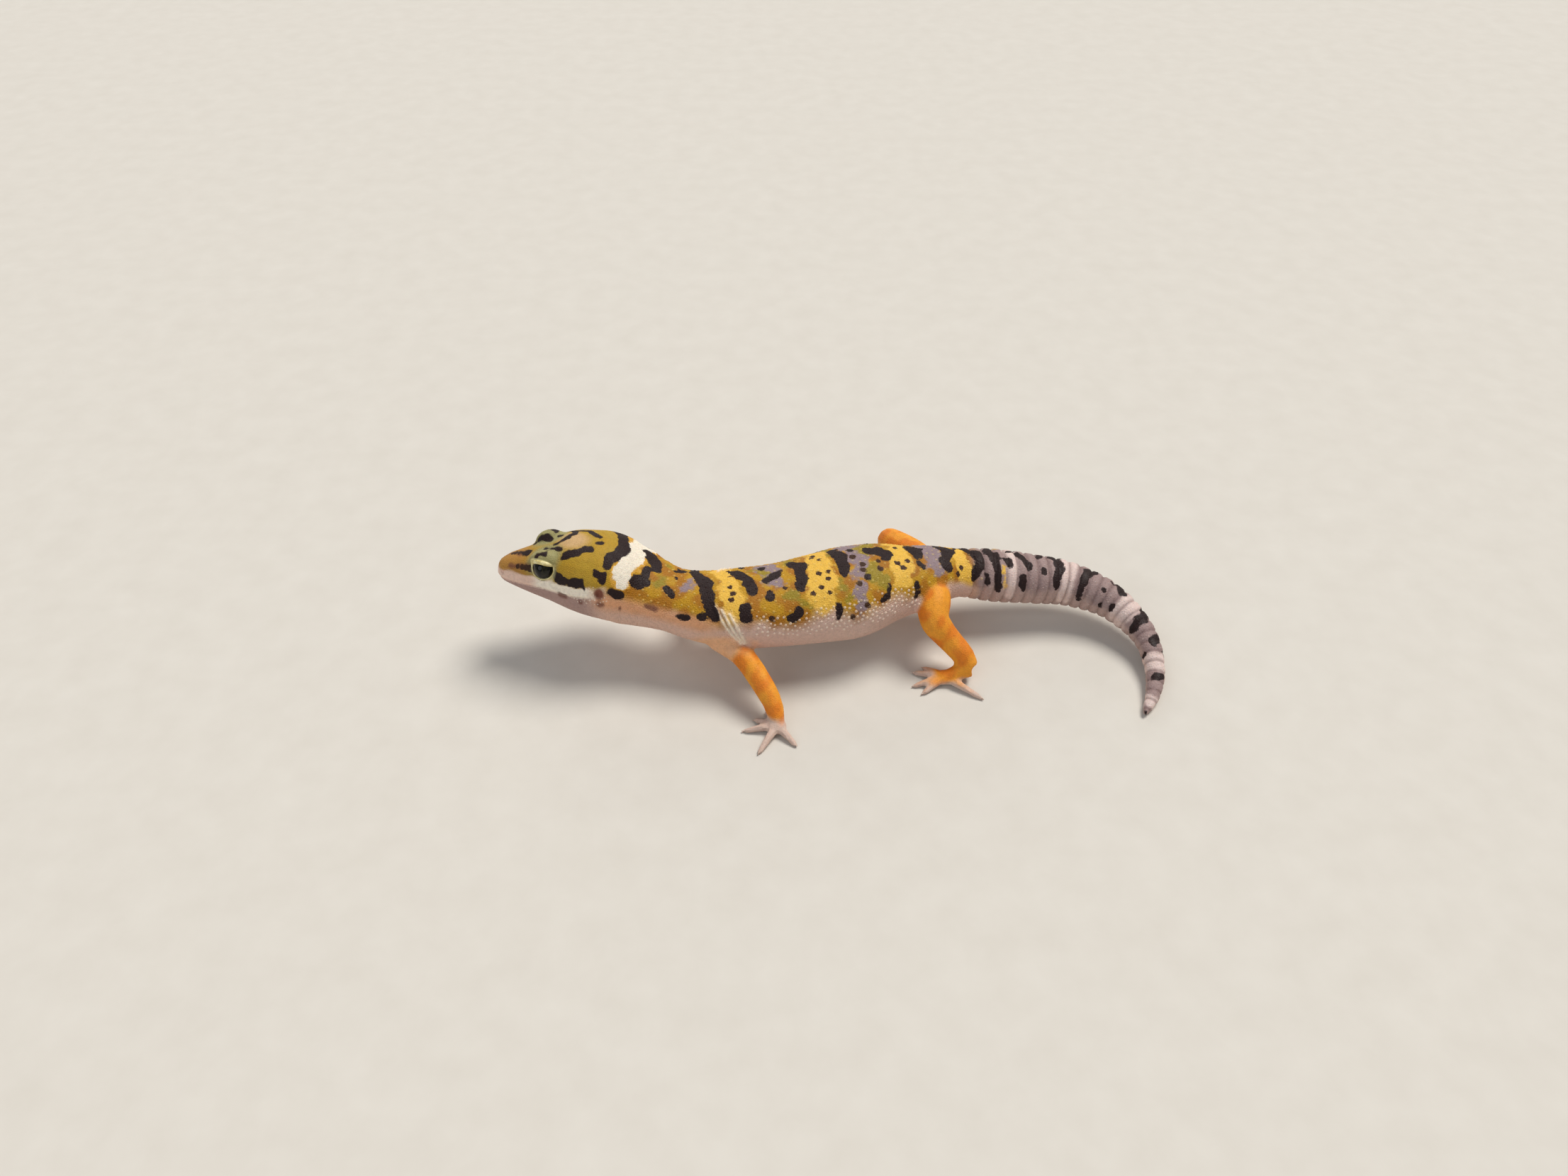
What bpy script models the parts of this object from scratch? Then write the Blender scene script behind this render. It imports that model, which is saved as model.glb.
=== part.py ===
"""A young leopard gecko at life size, standing, with its tail curled round towards its left side.

Lengths below are millimetres, which MM makes metres. +Z is up and the snout points to -X, so the
animal's left side faces -Y. Its soles, its toes and the tip of its tail stand on the floor at Z = 0.
The flesh is modelled whole, then parted by thin cuts where a person would name its parts.
"""

import math

import bmesh
import bpy
from mathutils import Euler, Matrix, Vector

MM = 0.001

# Driving dimensions
CUT_GAP = 0.3  # between a part and its neighbour
GRAIN = 0.25  # of the voxels that fuse the flesh
BODY_TRIANGLES = 3300  # of head, neck, trunk and tail before they are parted
LEG_TRIANGLES = 520  # of one leg before it is parted
SECTION_SIDES = 28  # points round a section
SPAN_STEPS = 6  # sections made between two named ones
SMOOTH_ROUNDS = 6
EYE_SIDES = 16
EAR_SIDES = 12

# The body from nape to tail tip. Each section: centre x, y, z, half width, height above the centre,
# depth below it, and squareness, where 2 is an ellipse
BODY = {
    "in_head": (-31.0, -0.4, 14.4, 6.9, 5.4, 5.6, 2.1),
    "nape": (-26.0, -1.2, 14.1, 7.6, 5.8, 6.3, 2.1),
    "neck": (-22.8, -2.1, 13.4, 6.8, 5.0, 5.8, 2.1),
    "neck_base": (-18.8, -3.1, 12.4, 6.1, 4.6, 5.0, 2.1),
    "withers": (-14.0, -3.9, 11.7, 6.7, 4.9, 5.3, 2.2),
    "shoulders": (-8.0, -3.9, 11.0, 7.6, 5.8, 5.6, 2.2),
    "chest": (-1.0, -2.6, 10.6, 7.9, 6.0, 6.0, 2.2),
    "belly_front": (6.0, -0.7, 10.5, 8.5, 6.4, 6.6, 2.2),
    "belly": (11.0, 0.8, 10.5, 8.9, 6.6, 6.8, 2.2),
    "loin": (16.5, 2.7, 10.5, 7.9, 6.3, 5.8, 2.2),
    "waist": (21.5, 3.8, 10.5, 6.7, 5.6, 4.7, 2.1),
    "hips": (25.5, 5.1, 10.3, 5.7, 5.1, 4.1, 2.1),
    "tail_root": (30.6, 6.5, 9.6, 4.6, 4.4, 3.8, 2.0),
    "tail_swell": (36.6, 6.9, 8.8, 4.9, 4.6, 4.4, 2.0),
    "tail_thick": (43.0, 7.1, 7.9, 4.7, 4.3, 4.2, 2.0),
    "tail_turn": (50.3, 6.9, 6.8, 4.1, 3.8, 3.8, 2.0),
    "tail_bend": (57.5, 3.9, 5.3, 3.3, 3.1, 3.1, 2.0),
    "tail_slim": (62.2, -2.6, 3.6, 2.3, 2.2, 2.2, 2.0),
    "tail_low": (62.9, -9.4, 2.1, 1.8, 1.7, 1.7, 2.0),
    "tail_end": (61.6, -14.6, 1.2, 1.35, 1.25, 1.3, 2.0),
    "tail_tip": (59.9, -17.8, 0.85, 0.75, 0.7, 0.9, 2.0),
    "tail_point": (59.4, -18.7, 0.75, 0.3, 0.3, 0.4, 2.0),
}
BODY_CUTS = ("nape", "neck_base", "tail_root", "tail_thick", "tail_bend", "tail_low")
CUT_REACH = 1.6  # of a cut's disc, as a share of the half width there

# The head in its own frame: x runs back from the snout, y to the animal's right, z up from the line
# of the mouth. Each section: x, half width, the heights of its top, its widest place and its bottom,
# and squareness
HEAD = {
    "snout_tip": (0.0, 0.9, 1.4, 0.4, -0.4, 2.0),
    "rostrum": (0.6, 1.9, 2.2, 0.2, -0.8, 2.1),
    "nostrils": (2.2, 2.8, 3.1, -0.2, -1.5, 2.3),
    "muzzle": (5.2, 3.9, 4.1, -0.6, -2.8, 2.3),
    "eyes": (9.0, 5.2, 5.5, -1.0, -4.2, 2.3),
    "temples": (13.0, 7.0, 6.6, -1.4, -5.6, 2.2),
    "cheeks": (16.5, 8.0, 6.1, -1.8, -6.6, 2.2),
    "jaw_angle": (19.5, 8.2, 5.6, -2.3, -7.5, 2.2),
    "occiput": (22.5, 7.6, 4.3, -2.8, -8.2, 2.1),
    "behind": (25.5, 6.2, 1.6, -3.2, -7.6, 2.1),
}
HEAD_PLACE = (-48.0, 0.7, 15.5)  # the tip of the snout
HEAD_TURN = (0.0, -3.5, -4.0)  # degrees about X, Y and Z: roll, pitch and heading
BROW = {"at": (9.4, 2.75, 3.4), "size": (3.2, 1.95, 2.95)}
EYE = {"at": (9.1, 3.05, 3.2), "radius": 1.95}
EAR = {"at": (18.6, 7.8, 1.1), "size": (0.8, 1.0, 1.2)}
MOUTH = {"front": -3.0, "slope": -1.6, "hinge": 17.4, "bottom": -12.0, "width": 24.0}

# Each leg: joint centres with the flesh's radius, from inside the body to the ankle or the wrist,
# the pad of the sole, and the tips of its five toes from the inner one outwards
LEGS = {
    "front_left": {
        "parts": ("upper_arm", "forearm", "hand"),
        "flesh": [
            (-13.6, -4.6, 10.2, 3.3),
            (-11.3, -7.4, 8.6, 2.8),
            (-7.1, -11.4, 7.6, 2.05),
            (-4.1, -15.2, 5.6, 1.9),
            (-2.0, -18.4, 3.6, 1.7),
            (-1.2, -20.4, 1.9, 1.4),
        ],
        "pad": (-1.2, -21.4, 1.0),
        "toes": [(-3.2, -17.4), (-5.3, -19.3), (-7.0, -21.9), (-4.3, -27.0), (2.2, -25.3)],
    },
    "front_right": {
        "parts": ("upper_arm", "forearm", "hand"),
        "flesh": [
            (-12.5, -3.0, 10.2, 2.9),
            (-13.6, 1.6, 9.0, 2.5),
            (-15.5, 6.8, 7.2, 2.1),
            (-18.6, 9.4, 5.2, 2.0),
            (-21.8, 11.6, 3.2, 1.7),
            (-23.2, 12.4, 1.9, 1.4),
        ],
        "pad": (-24.2, 12.9, 1.0),
        "toes": [(-26.0, 8.9), (-29.5, 10.6), (-30.2, 13.6), (-28.0, 16.6), (-23.2, 17.3)],
    },
    "hind_left": {
        "parts": ("thigh", "shank", "foot"),
        "flesh": [
            (25.6, 3.6, 9.8, 3.3),
            (25.5, -0.9, 10.3, 3.0),
            (25.4, -4.4, 8.8, 2.6),
            (27.5, -6.0, 6.4, 2.2),
            (30.0, -8.0, 4.4, 2.0),
            (31.5, -9.5, 2.4, 1.7),
        ],
        "pad": (27.2, -10.4, 1.0),
        "toes": [(23.4, -7.2), (21.6, -8.5), (21.4, -12.0), (22.9, -13.9), (33.6, -15.0)],
    },
    "hind_right": {
        "parts": ("thigh", "shank", "foot"),
        "flesh": [
            (25.4, 6.4, 9.6, 3.4),
            (22.8, 11.2, 9.8, 3.0),
            (19.2, 16.6, 8.7, 2.4),
            (21.6, 17.9, 6.0, 2.2),
            (25.0, 18.4, 3.8, 1.9),
            (26.0, 18.6, 2.4, 1.6),
        ],
        "pad": (22.4, 18.6, 1.0),
        "toes": [(19.0, 15.4), (17.2, 17.0), (16.8, 19.4), (18.4, 21.8), (26.8, 21.6)],
    },
}
# Where a leg is parted, counted in joints of its flesh
LEG_CUTS = {"hand": (2, 4), "foot": (2, 3.5)}
PAD_SIZE = (1.7, 1.5, 1.1)
TOE_ROOT = 0.8  # a toe's radius inside the pad
# A toe's stretches: how far along it, its radius, and how high its underside is over the floor
TOE = (
    (0.35, 0.72, 0.22),
    (0.6, 0.58, 0.1),
    (0.82, 0.52, -0.12),
    (0.92, 0.36, -0.05),
    (1.0, 0.22, -0.08),
)

# Linear colour and roughness of each kind of part
FINISH = {
    "head": ((0.48, 0.33, 0.06), 0.6),
    "lower_jaw": ((0.42, 0.27, 0.23), 0.6),
    "neck": ((0.55, 0.28, 0.06), 0.6),
    "trunk": ((0.66, 0.42, 0.06), 0.6),
    "tail": ((0.44, 0.33, 0.33), 0.6),
    "leg": ((0.74, 0.27, 0.03), 0.55),
    "foot": ((0.55, 0.4, 0.33), 0.55),
    "eye": ((0.01, 0.012, 0.01), 0.1),
}


def lerp(a, b, part):
    """The mix of two tuples, with part of the second."""
    return tuple(x + (y - x) * part for x, y in zip(a, b))


def smooth_rows(rows, steps):
    """Rows of numbers with more rows between each two, on a smooth curve through them all."""
    ends = [lerp(rows[1], rows[0], 2), *rows, lerp(rows[-2], rows[-1], 2)]
    made = []
    for near in zip(ends, ends[1:], ends[2:], ends[3:]):
        for k in range(steps):
            t = k / steps
            weights = (
                (-t + 2 * t**2 - t**3) / 2,
                (2 - 5 * t**2 + 3 * t**3) / 2,
                (t + 4 * t**2 - 3 * t**3) / 2,
                (t**3 - t**2) / 2,
            )
            made.append(tuple(sum(w * v for w, v in zip(weights, four)) for four in zip(*near)))
    return [*made, tuple(rows[-1])]


def collection(name):
    made = bpy.data.collections.new(name)
    bpy.context.scene.collection.children.link(made)
    return made


def material(name, colour, roughness):
    made = bpy.data.materials.new(name)
    made.use_nodes = True
    shader = made.node_tree.nodes["Principled BSDF"]
    shader.inputs["Base Color"].default_value = (*colour, 1)
    shader.inputs["Roughness"].default_value = roughness
    shader.inputs["Metallic"].default_value = 0
    return made


def add_object(name, bm, where):
    """A new object in a collection, from a bmesh in metres, which is freed."""
    mesh = bpy.data.meshes.new(name)
    bm.to_mesh(mesh)
    bm.free()
    made = bpy.data.objects.new(name, mesh)
    where.objects.link(made)
    return made


def evaluated(thing):
    """The mesh of an object with its modifiers done."""
    bpy.context.view_layer.update()
    graph = bpy.context.evaluated_depsgraph_get()
    return bpy.data.meshes.new_from_object(thing.evaluated_get(graph))


def ring(bm, centre, side, up, width, height, depth, square):
    """The points of one section, a superellipse whose lower half may be deeper than its upper."""
    made = []
    for k in range(SECTION_SIDES):
        turn = math.tau * k / SECTION_SIDES
        across = math.copysign(abs(math.cos(turn)) ** (2 / square), math.cos(turn))
        rise = math.copysign(abs(math.sin(turn)) ** (2 / square), math.sin(turn))
        place = centre + side * (across * width) + up * (rise * (height if rise > 0 else depth))
        made.append(bm.verts.new(place * MM))
    return made


def skin_rings(bm, rings):
    """Walls between each two sections, and a face on each end."""
    for first, second in zip(rings, rings[1:]):
        for k in range(SECTION_SIDES):
            near = (k + 1) % SECTION_SIDES
            bm.faces.new((first[k], first[near], second[near], second[k]))
    bm.faces.new(rings[0])
    bm.faces.new(rings[-1])
    bmesh.ops.recalc_face_normals(bm, faces=bm.faces)


def direction(rows, n):
    """Which way a line of rows runs at row n."""
    before, after = rows[max(n - 1, 0)], rows[min(n + 1, len(rows) - 1)]
    return (Vector(after[:3]) - Vector(before[:3])).normalized()


def body_loft(grow=0.0):
    """Neck, trunk and tail: sections that stand square to the body's line, grown all round."""
    bm = bmesh.new()
    rows = smooth_rows(list(BODY.values()), SPAN_STEPS)
    rings = []
    for n, (x, y, z, width, height, depth, square) in enumerate(rows):
        along = direction(rows, n)
        side = Vector((0, 0, 1)).cross(along).normalized()
        sizes = (width + grow, height + grow, depth + grow, square)
        rings.append(ring(bm, Vector((x, y, z)), side, along.cross(side), *sizes))
    skin_rings(bm, rings)
    return bm


def head_matrix():
    """From the head's own frame to the animal's, both in millimetres."""
    turn = Euler([math.radians(angle) for angle in HEAD_TURN]).to_matrix().to_4x4()
    return Matrix.Translation(HEAD_PLACE) @ turn


def in_metres(bm, frame=None):
    """Takes a shape out of a frame in millimetres."""
    bm.transform(Matrix.Scale(MM, 4) @ (frame or Matrix()))
    return bm


def ellipsoid(at, size, segments=24):
    """A ball of three half sizes, in the frame that its place is given in."""
    bm = bmesh.new()
    bmesh.ops.create_uvsphere(bm, u_segments=segments, v_segments=segments // 2, radius=1)
    bm.transform(Matrix.Translation(at) @ Matrix.Diagonal((*size, 1)))
    return bm


def box(low, high):
    """A box between two corners, in the frame that they are given in."""
    bm = bmesh.new()
    bmesh.ops.create_cube(bm, size=1)
    size = [b - a for a, b in zip(low, high)]
    bm.transform(Matrix.Translation(lerp(low, high, 0.5)) @ Matrix.Diagonal((*size, 1)))
    return bm


def on_side(at, side):
    """A place of the head on its left, for side -1, or on its right, for side 1."""
    return at[0], at[1] * side, at[2]


def head_pieces():
    """Skull and jaws, with a brow swelling over each eye."""
    skull = bmesh.new()
    rings = []
    for x, width, top, widest, bottom, square in smooth_rows(list(HEAD.values()), SPAN_STEPS):
        sizes = (width, top - widest, widest - bottom, square)
        centre = Vector((x, 0, widest))
        rings.append(ring(skull, centre, Vector((0, 1, 0)), Vector((0, 0, 1)), *sizes))
    skin_rings(skull, rings)
    skull.transform(Matrix.Scale(1 / MM, 4))
    brows = [ellipsoid(on_side(BROW["at"], side), BROW["size"]) for side in (-1, 1)]
    return [in_metres(bm, head_matrix()) for bm in (skull, *brows)]


def tube(name, points, where):
    """A round limb or toe: a curve through points (x, y, z, radius), made a closed mesh."""
    curve = bpy.data.curves.new(name, "CURVE")
    curve.dimensions = "3D"
    curve.bevel_depth = MM
    curve.bevel_resolution = 4
    curve.use_fill_caps = True
    rows = smooth_rows(points, SPAN_STEPS)
    spline = curve.splines.new("POLY")
    spline.points.add(len(rows) - 1)
    for point, (x, y, z, radius) in zip(spline.points, rows):
        point.co = (x * MM, y * MM, z * MM, 1)
        point.radius = radius
    drawn = bpy.data.objects.new(name, curve)
    where.objects.link(drawn)
    bm = bmesh.new()
    bm.from_mesh(evaluated(drawn))
    bmesh.ops.remove_doubles(bm, verts=bm.verts, dist=GRAIN * MM / 100)
    bpy.data.objects.remove(drawn)
    return bm


def toe_points(pad, tip):
    """A toe from the sole's pad to its claw, a low arch whose underside meets the floor."""
    rows = [(*pad, TOE_ROOT)]
    for part, radius, clear in TOE:
        rows.append((*lerp(pad[:2], tip, part), radius + clear, radius))
    return rows


def leg_pieces(name, leg, where):
    """The limb down to its ankle or wrist, the sole's pad and the five toes."""
    pad = leg["pad"]
    pieces = [
        tube(f"{name}_flesh", leg["flesh"], where),
        tube(f"{name}_instep", [leg["flesh"][-1], (*pad, PAD_SIZE[2])], where),
        in_metres(ellipsoid(pad, PAD_SIZE)),
    ]
    for n, tip in enumerate(leg["toes"]):
        pieces.append(tube(f"{name}_toe_{n + 1}", toe_points(pad, tip), where))
    return pieces


def fuse(name, pieces, triangles, where):
    """One closed skin round all the pieces, smoothed and thinned to a number of triangles."""
    whole = bmesh.new()
    for bm in pieces:
        mesh = bpy.data.meshes.new(name)
        bm.to_mesh(mesh)
        bm.free()
        whole.from_mesh(mesh)
        bpy.data.meshes.remove(mesh)
    flesh = add_object(name, whole, where)
    remesh = flesh.modifiers.new("fuse", "REMESH")
    remesh.mode = "VOXEL"
    remesh.voxel_size = GRAIN * MM
    ease = flesh.modifiers.new("ease", "SMOOTH")
    ease.factor = 0.5
    ease.iterations = SMOOTH_ROUNDS
    corners = sum(len(face.vertices) - 2 for face in evaluated(flesh).polygons)
    thin = flesh.modifiers.new("thin", "DECIMATE")
    thin.use_collapse_triangulate = True
    thin.ratio = triangles / corners
    return flesh


def cutter(name, bm, where):
    made = add_object(name, bm, where)
    made.hide_render = True
    made.display_type = "WIRE"
    return made


def disc(at, along, radius):
    """A thin round slab, square to a direction, that parts a limb."""
    bm = bmesh.new()
    bmesh.ops.create_cone(
        bm, cap_ends=True, segments=32, radius1=radius, radius2=radius, depth=CUT_GAP
    )
    turn = along.to_track_quat("Z", "Y").to_matrix().to_4x4()
    return in_metres(bm, Matrix.Translation(at) @ turn)


def mouth_slits():
    """A slit from the snout to the hinge and one down from there, which part the lower jaw."""
    half = MOUTH["width"] / 2
    end = MOUTH["hinge"] + CUT_GAP
    slit = box((MOUTH["front"], -half, -CUT_GAP / 2), (end, half, CUT_GAP / 2))
    drop = box((MOUTH["hinge"], -half, MOUTH["bottom"]), (end, half, 0))
    tilt = head_matrix() @ Matrix.Rotation(math.radians(MOUTH["slope"]), 4, "Y")
    return [in_metres(bm, tilt) for bm in (slit, drop)]


def body_cutters(where):
    """What is taken from head, neck, trunk and tail: eye sockets, ears, mouth, floor and discs."""
    shapes = {"floor": in_metres(box((-80, -60, -5), (80, 60, 0)))}
    socket = EYE["radius"] + CUT_GAP
    for side, word in ((-1, "left"), (1, "right")):
        ball = ellipsoid(on_side(EYE["at"], side), (socket,) * 3, EYE_SIDES)
        shapes[f"socket_{word}"] = in_metres(ball, head_matrix())
        hole = ellipsoid(on_side(EAR["at"], side), EAR["size"], EAR_SIDES)
        shapes[f"ear_{word}"] = in_metres(hole, head_matrix())
    shapes["mouth"], shapes["jaw_hinge"] = mouth_slits()
    rows = list(BODY.values())
    for n, (name, row) in enumerate(BODY.items()):
        if name in BODY_CUTS:
            shapes[f"cut_{name}"] = disc(row[:3], direction(rows, n), row[3] * CUT_REACH)
    return [cutter(name, bm, where) for name, bm in shapes.items()]


def leg_cutters(name, leg, where):
    """What is taken from a leg: the floor, the trunk with a gap round it, and a disc at two joints."""
    shapes = {
        "floor": in_metres(box((-80, -60, -5), (80, 60, 0))),
        "trunk": body_loft(CUT_GAP),
    }
    rows = smooth_rows(leg["flesh"], SPAN_STEPS)
    for joint in LEG_CUTS[leg["parts"][-1]]:
        n = round(joint * SPAN_STEPS)
        shapes[f"joint_{n}"] = disc(rows[n][:3], direction(rows, n), rows[n][3] * CUT_REACH)
    return [cutter(f"{name}_{word}", bm, where) for word, bm in shapes.items()]


def loose_bodies(mesh):
    """A bmesh of each loose body of a mesh, the largest first."""
    whole = bmesh.new()
    whole.from_mesh(mesh)
    left = set(whole.verts)
    bodies = []
    while left:
        body = {left.pop()}
        reached = list(body)
        while reached:
            for link in reached.pop().link_edges:
                fresh = set(link.verts) - body
                body |= fresh
                reached += fresh
        left -= body
        bodies.append({vert.index for vert in body})
    made = []
    for body in sorted(bodies, key=lambda group: (-len(group), min(group))):
        part = whole.copy()
        rest = [vert for vert in part.verts if vert.index not in body]
        bmesh.ops.delete(part, geom=rest, context="VERTS")
        made.append(part)
    whole.free()
    return made


def part_flesh(flesh, cutters, seeds, where):
    """Cuts the flesh; each seed, in millimetres, names the largest body left that lies near it."""
    for thing in cutters:
        cut = flesh.modifiers.new(thing.name, "BOOLEAN")
        cut.object = thing
        cut.solver = "EXACT"
    bodies = loose_bodies(evaluated(flesh))[: len(seeds)]
    bpy.data.objects.remove(flesh)
    made = {}
    for name, seed in seeds.items():
        at = Vector(seed) * MM
        nearest = min(bodies, key=lambda bm: min((vert.co - at).length for vert in bm.verts))
        bodies.remove(nearest)
        made[name] = add_object(name, nearest, where)
    return made


def make_body(animal, tools):
    """Head, lower jaw, neck, trunk and the four lengths of the tail."""
    flesh = fuse("body_flesh", [body_loft(), *head_pieces()], BODY_TRIANGLES, tools)
    seeds = {
        "head": head_matrix() @ Vector((11, 0, 5)),
        "lower_jaw": head_matrix() @ Vector((11, 0, -4)),
        "neck": BODY["neck"][:3],
        "trunk": BODY["belly_front"][:3],
        "tail_base": BODY["tail_swell"][:3],
        "tail_middle": BODY["tail_turn"][:3],
        "tail_bend": BODY["tail_slim"][:3],
        "tail_tip": BODY["tail_tip"][:3],
    }
    return part_flesh(flesh, body_cutters(tools), seeds, animal)


def make_leg(name, leg, animal, tools):
    """One leg in its three parts, the last with toes and claws."""
    flesh = fuse(f"{name}_leg_flesh", leg_pieces(name, leg, tools), LEG_TRIANGLES, tools)
    upper, lower, foot = (f"{name}_{word}" for word in leg["parts"])
    seeds = {foot: leg["pad"], lower: leg["flesh"][3][:3], upper: leg["flesh"][1][:3]}
    return part_flesh(flesh, leg_cutters(name, leg, tools), seeds, animal)


def make_eyes(animal):
    made = {}
    for side, word in ((-1, "left"), (1, "right")):
        ball = ellipsoid(on_side(EYE["at"], side), (EYE["radius"],) * 3, EYE_SIDES)
        made[f"eye_{word}"] = add_object(f"eye_{word}", in_metres(ball, head_matrix()), animal)
    return made


def kind_of(name):
    """Which finish a part takes."""
    if name in FINISH:
        return name
    for word in ("eye", "tail"):
        if name.startswith(word):
            return word
    return "foot" if name.endswith(("hand", "foot")) else "leg"


def stand_on_origin(parts):
    """Moves the whole animal so that the floor under the middle of its box is the origin."""
    places = [vert.co for thing in parts for vert in thing.data.vertices]
    low = [min(place[n] for place in places) for n in range(3)]
    high = [max(place[n] for place in places) for n in range(3)]
    move = Matrix.Translation((-(low[0] + high[0]) / 2, -(low[1] + high[1]) / 2, -low[2]))
    for thing in parts:
        thing.data.transform(move)


def main():
    for thing in list(bpy.data.objects):
        bpy.data.objects.remove(thing)
    animal = collection("leopard_gecko")
    tools = collection("cutters")
    parts = make_body(animal, tools)
    for name, leg in LEGS.items():
        parts.update(make_leg(name, leg, animal, tools))
    parts.update(make_eyes(animal))
    for name, thing in parts.items():
        thing.data.shade_smooth()
        thing.data.materials.clear()
        thing.data.materials.append(material(name, *FINISH[kind_of(name)]))
    stand_on_origin(parts.values())


main()
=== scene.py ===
import math

import bpy
import numpy as np
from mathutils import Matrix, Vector


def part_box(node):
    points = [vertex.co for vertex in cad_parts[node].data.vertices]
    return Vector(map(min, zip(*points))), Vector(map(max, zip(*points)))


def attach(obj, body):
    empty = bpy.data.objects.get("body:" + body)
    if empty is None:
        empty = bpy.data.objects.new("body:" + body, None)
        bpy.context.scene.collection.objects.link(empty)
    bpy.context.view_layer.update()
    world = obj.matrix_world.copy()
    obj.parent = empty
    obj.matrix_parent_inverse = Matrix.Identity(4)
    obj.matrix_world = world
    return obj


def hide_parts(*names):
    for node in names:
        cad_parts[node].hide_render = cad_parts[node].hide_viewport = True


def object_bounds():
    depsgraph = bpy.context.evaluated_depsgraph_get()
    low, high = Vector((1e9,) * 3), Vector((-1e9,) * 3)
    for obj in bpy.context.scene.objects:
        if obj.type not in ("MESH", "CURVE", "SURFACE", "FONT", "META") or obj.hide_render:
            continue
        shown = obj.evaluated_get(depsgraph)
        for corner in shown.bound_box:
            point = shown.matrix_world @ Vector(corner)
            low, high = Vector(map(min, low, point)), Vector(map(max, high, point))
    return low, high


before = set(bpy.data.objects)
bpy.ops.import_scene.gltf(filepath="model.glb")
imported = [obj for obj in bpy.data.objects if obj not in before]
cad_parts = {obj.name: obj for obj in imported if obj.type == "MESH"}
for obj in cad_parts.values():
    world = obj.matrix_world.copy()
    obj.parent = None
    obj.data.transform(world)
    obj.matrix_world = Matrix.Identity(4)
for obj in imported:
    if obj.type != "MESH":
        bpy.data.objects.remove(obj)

cadLow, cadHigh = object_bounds()
mm = 0.001
eyes = {"eye_left": -1, "eye_right": 1}  # the side each is on
fleshNames = [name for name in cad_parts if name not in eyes]


# Places. All lengths below are in mm, and places are measured from the point between the eyes


def middleOf(name):
    low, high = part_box(name)
    return (low + high) / 2


def fromEyes(place):
    return np.array(place - betweenEyes) / mm


eyePlaces = {side: middleOf(name) for name, side in eyes.items()}
betweenEyes = (eyePlaces[-1] + eyePlaces[1]) / 2
eyeLow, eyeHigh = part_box("eye_left")
eyeRadius = (eyeHigh - eyeLow).z / 2 / mm
floorUnder = (cadLow.z - betweenEyes.z) / mm

headSet = {"pitch": 3.5, "eyeBack": 9.1, "eyeUp": 3.2}  # and the eyes' place from the tip of the snout
acrossHead = (eyePlaces[1] - eyePlaces[-1]).normalized()  # towards the animal's right
pitch = math.radians(headSet["pitch"])
backOfHead = acrossHead.cross(Vector((0, 0, 1))) * math.cos(pitch) + Vector((0, 0, math.sin(pitch)))
upHead = backOfHead.cross(acrossHead)
headAxes = np.array([backOfHead, acrossHead, upHead])
snout = -np.array(backOfHead) * headSet["eyeBack"] - np.array(upHead) * headSet["eyeUp"]

# The line down the middle of the body from snout to tail tip: x, y, z, half width, half height
bodyLine = [
    (-8.9, 0.6, -3.3, 0.9, 0.9),
    (-3.9, 0.3, -3.6, 3.9, 3.5),
    (1.6, -0.1, -3.9, 5.8, 5.2),
    (7.6, -0.5, -4.3, 8.0, 6.4),
    (13.1, -1.3, -5.1, 7.6, 6.0),
    (16.3, -2.2, -5.8, 6.8, 5.4),
    (20.3, -3.2, -6.8, 6.1, 4.8),
    (25.1, -4.0, -7.5, 6.7, 5.1),
    (31.1, -4.0, -8.2, 7.6, 5.7),
    (38.1, -2.7, -8.6, 7.9, 6.0),
    (45.1, -0.8, -8.7, 8.5, 6.5),
    (50.1, 0.7, -8.7, 8.9, 6.7),
    (55.6, 2.6, -8.7, 7.9, 6.0),
    (60.6, 3.7, -8.7, 6.7, 5.2),
    (64.6, 5.0, -8.9, 5.7, 4.6),
    (69.7, 6.4, -9.6, 4.6, 4.1),
    (75.7, 6.8, -10.4, 4.9, 4.5),
    (82.1, 7.0, -11.3, 4.7, 4.2),
    (89.4, 6.8, -12.4, 4.1, 3.8),
    (96.6, 3.8, -13.9, 3.3, 3.1),
    (101.3, -2.7, -15.6, 2.3, 2.2),
    (102.0, -9.5, -17.1, 1.8, 1.7),
    (100.7, -14.7, -18.0, 1.4, 1.3),
    (99.0, -17.9, -18.4, 0.8, 0.8),
    (98.5, -18.8, -18.5, 0.3, 0.3),
]

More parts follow.
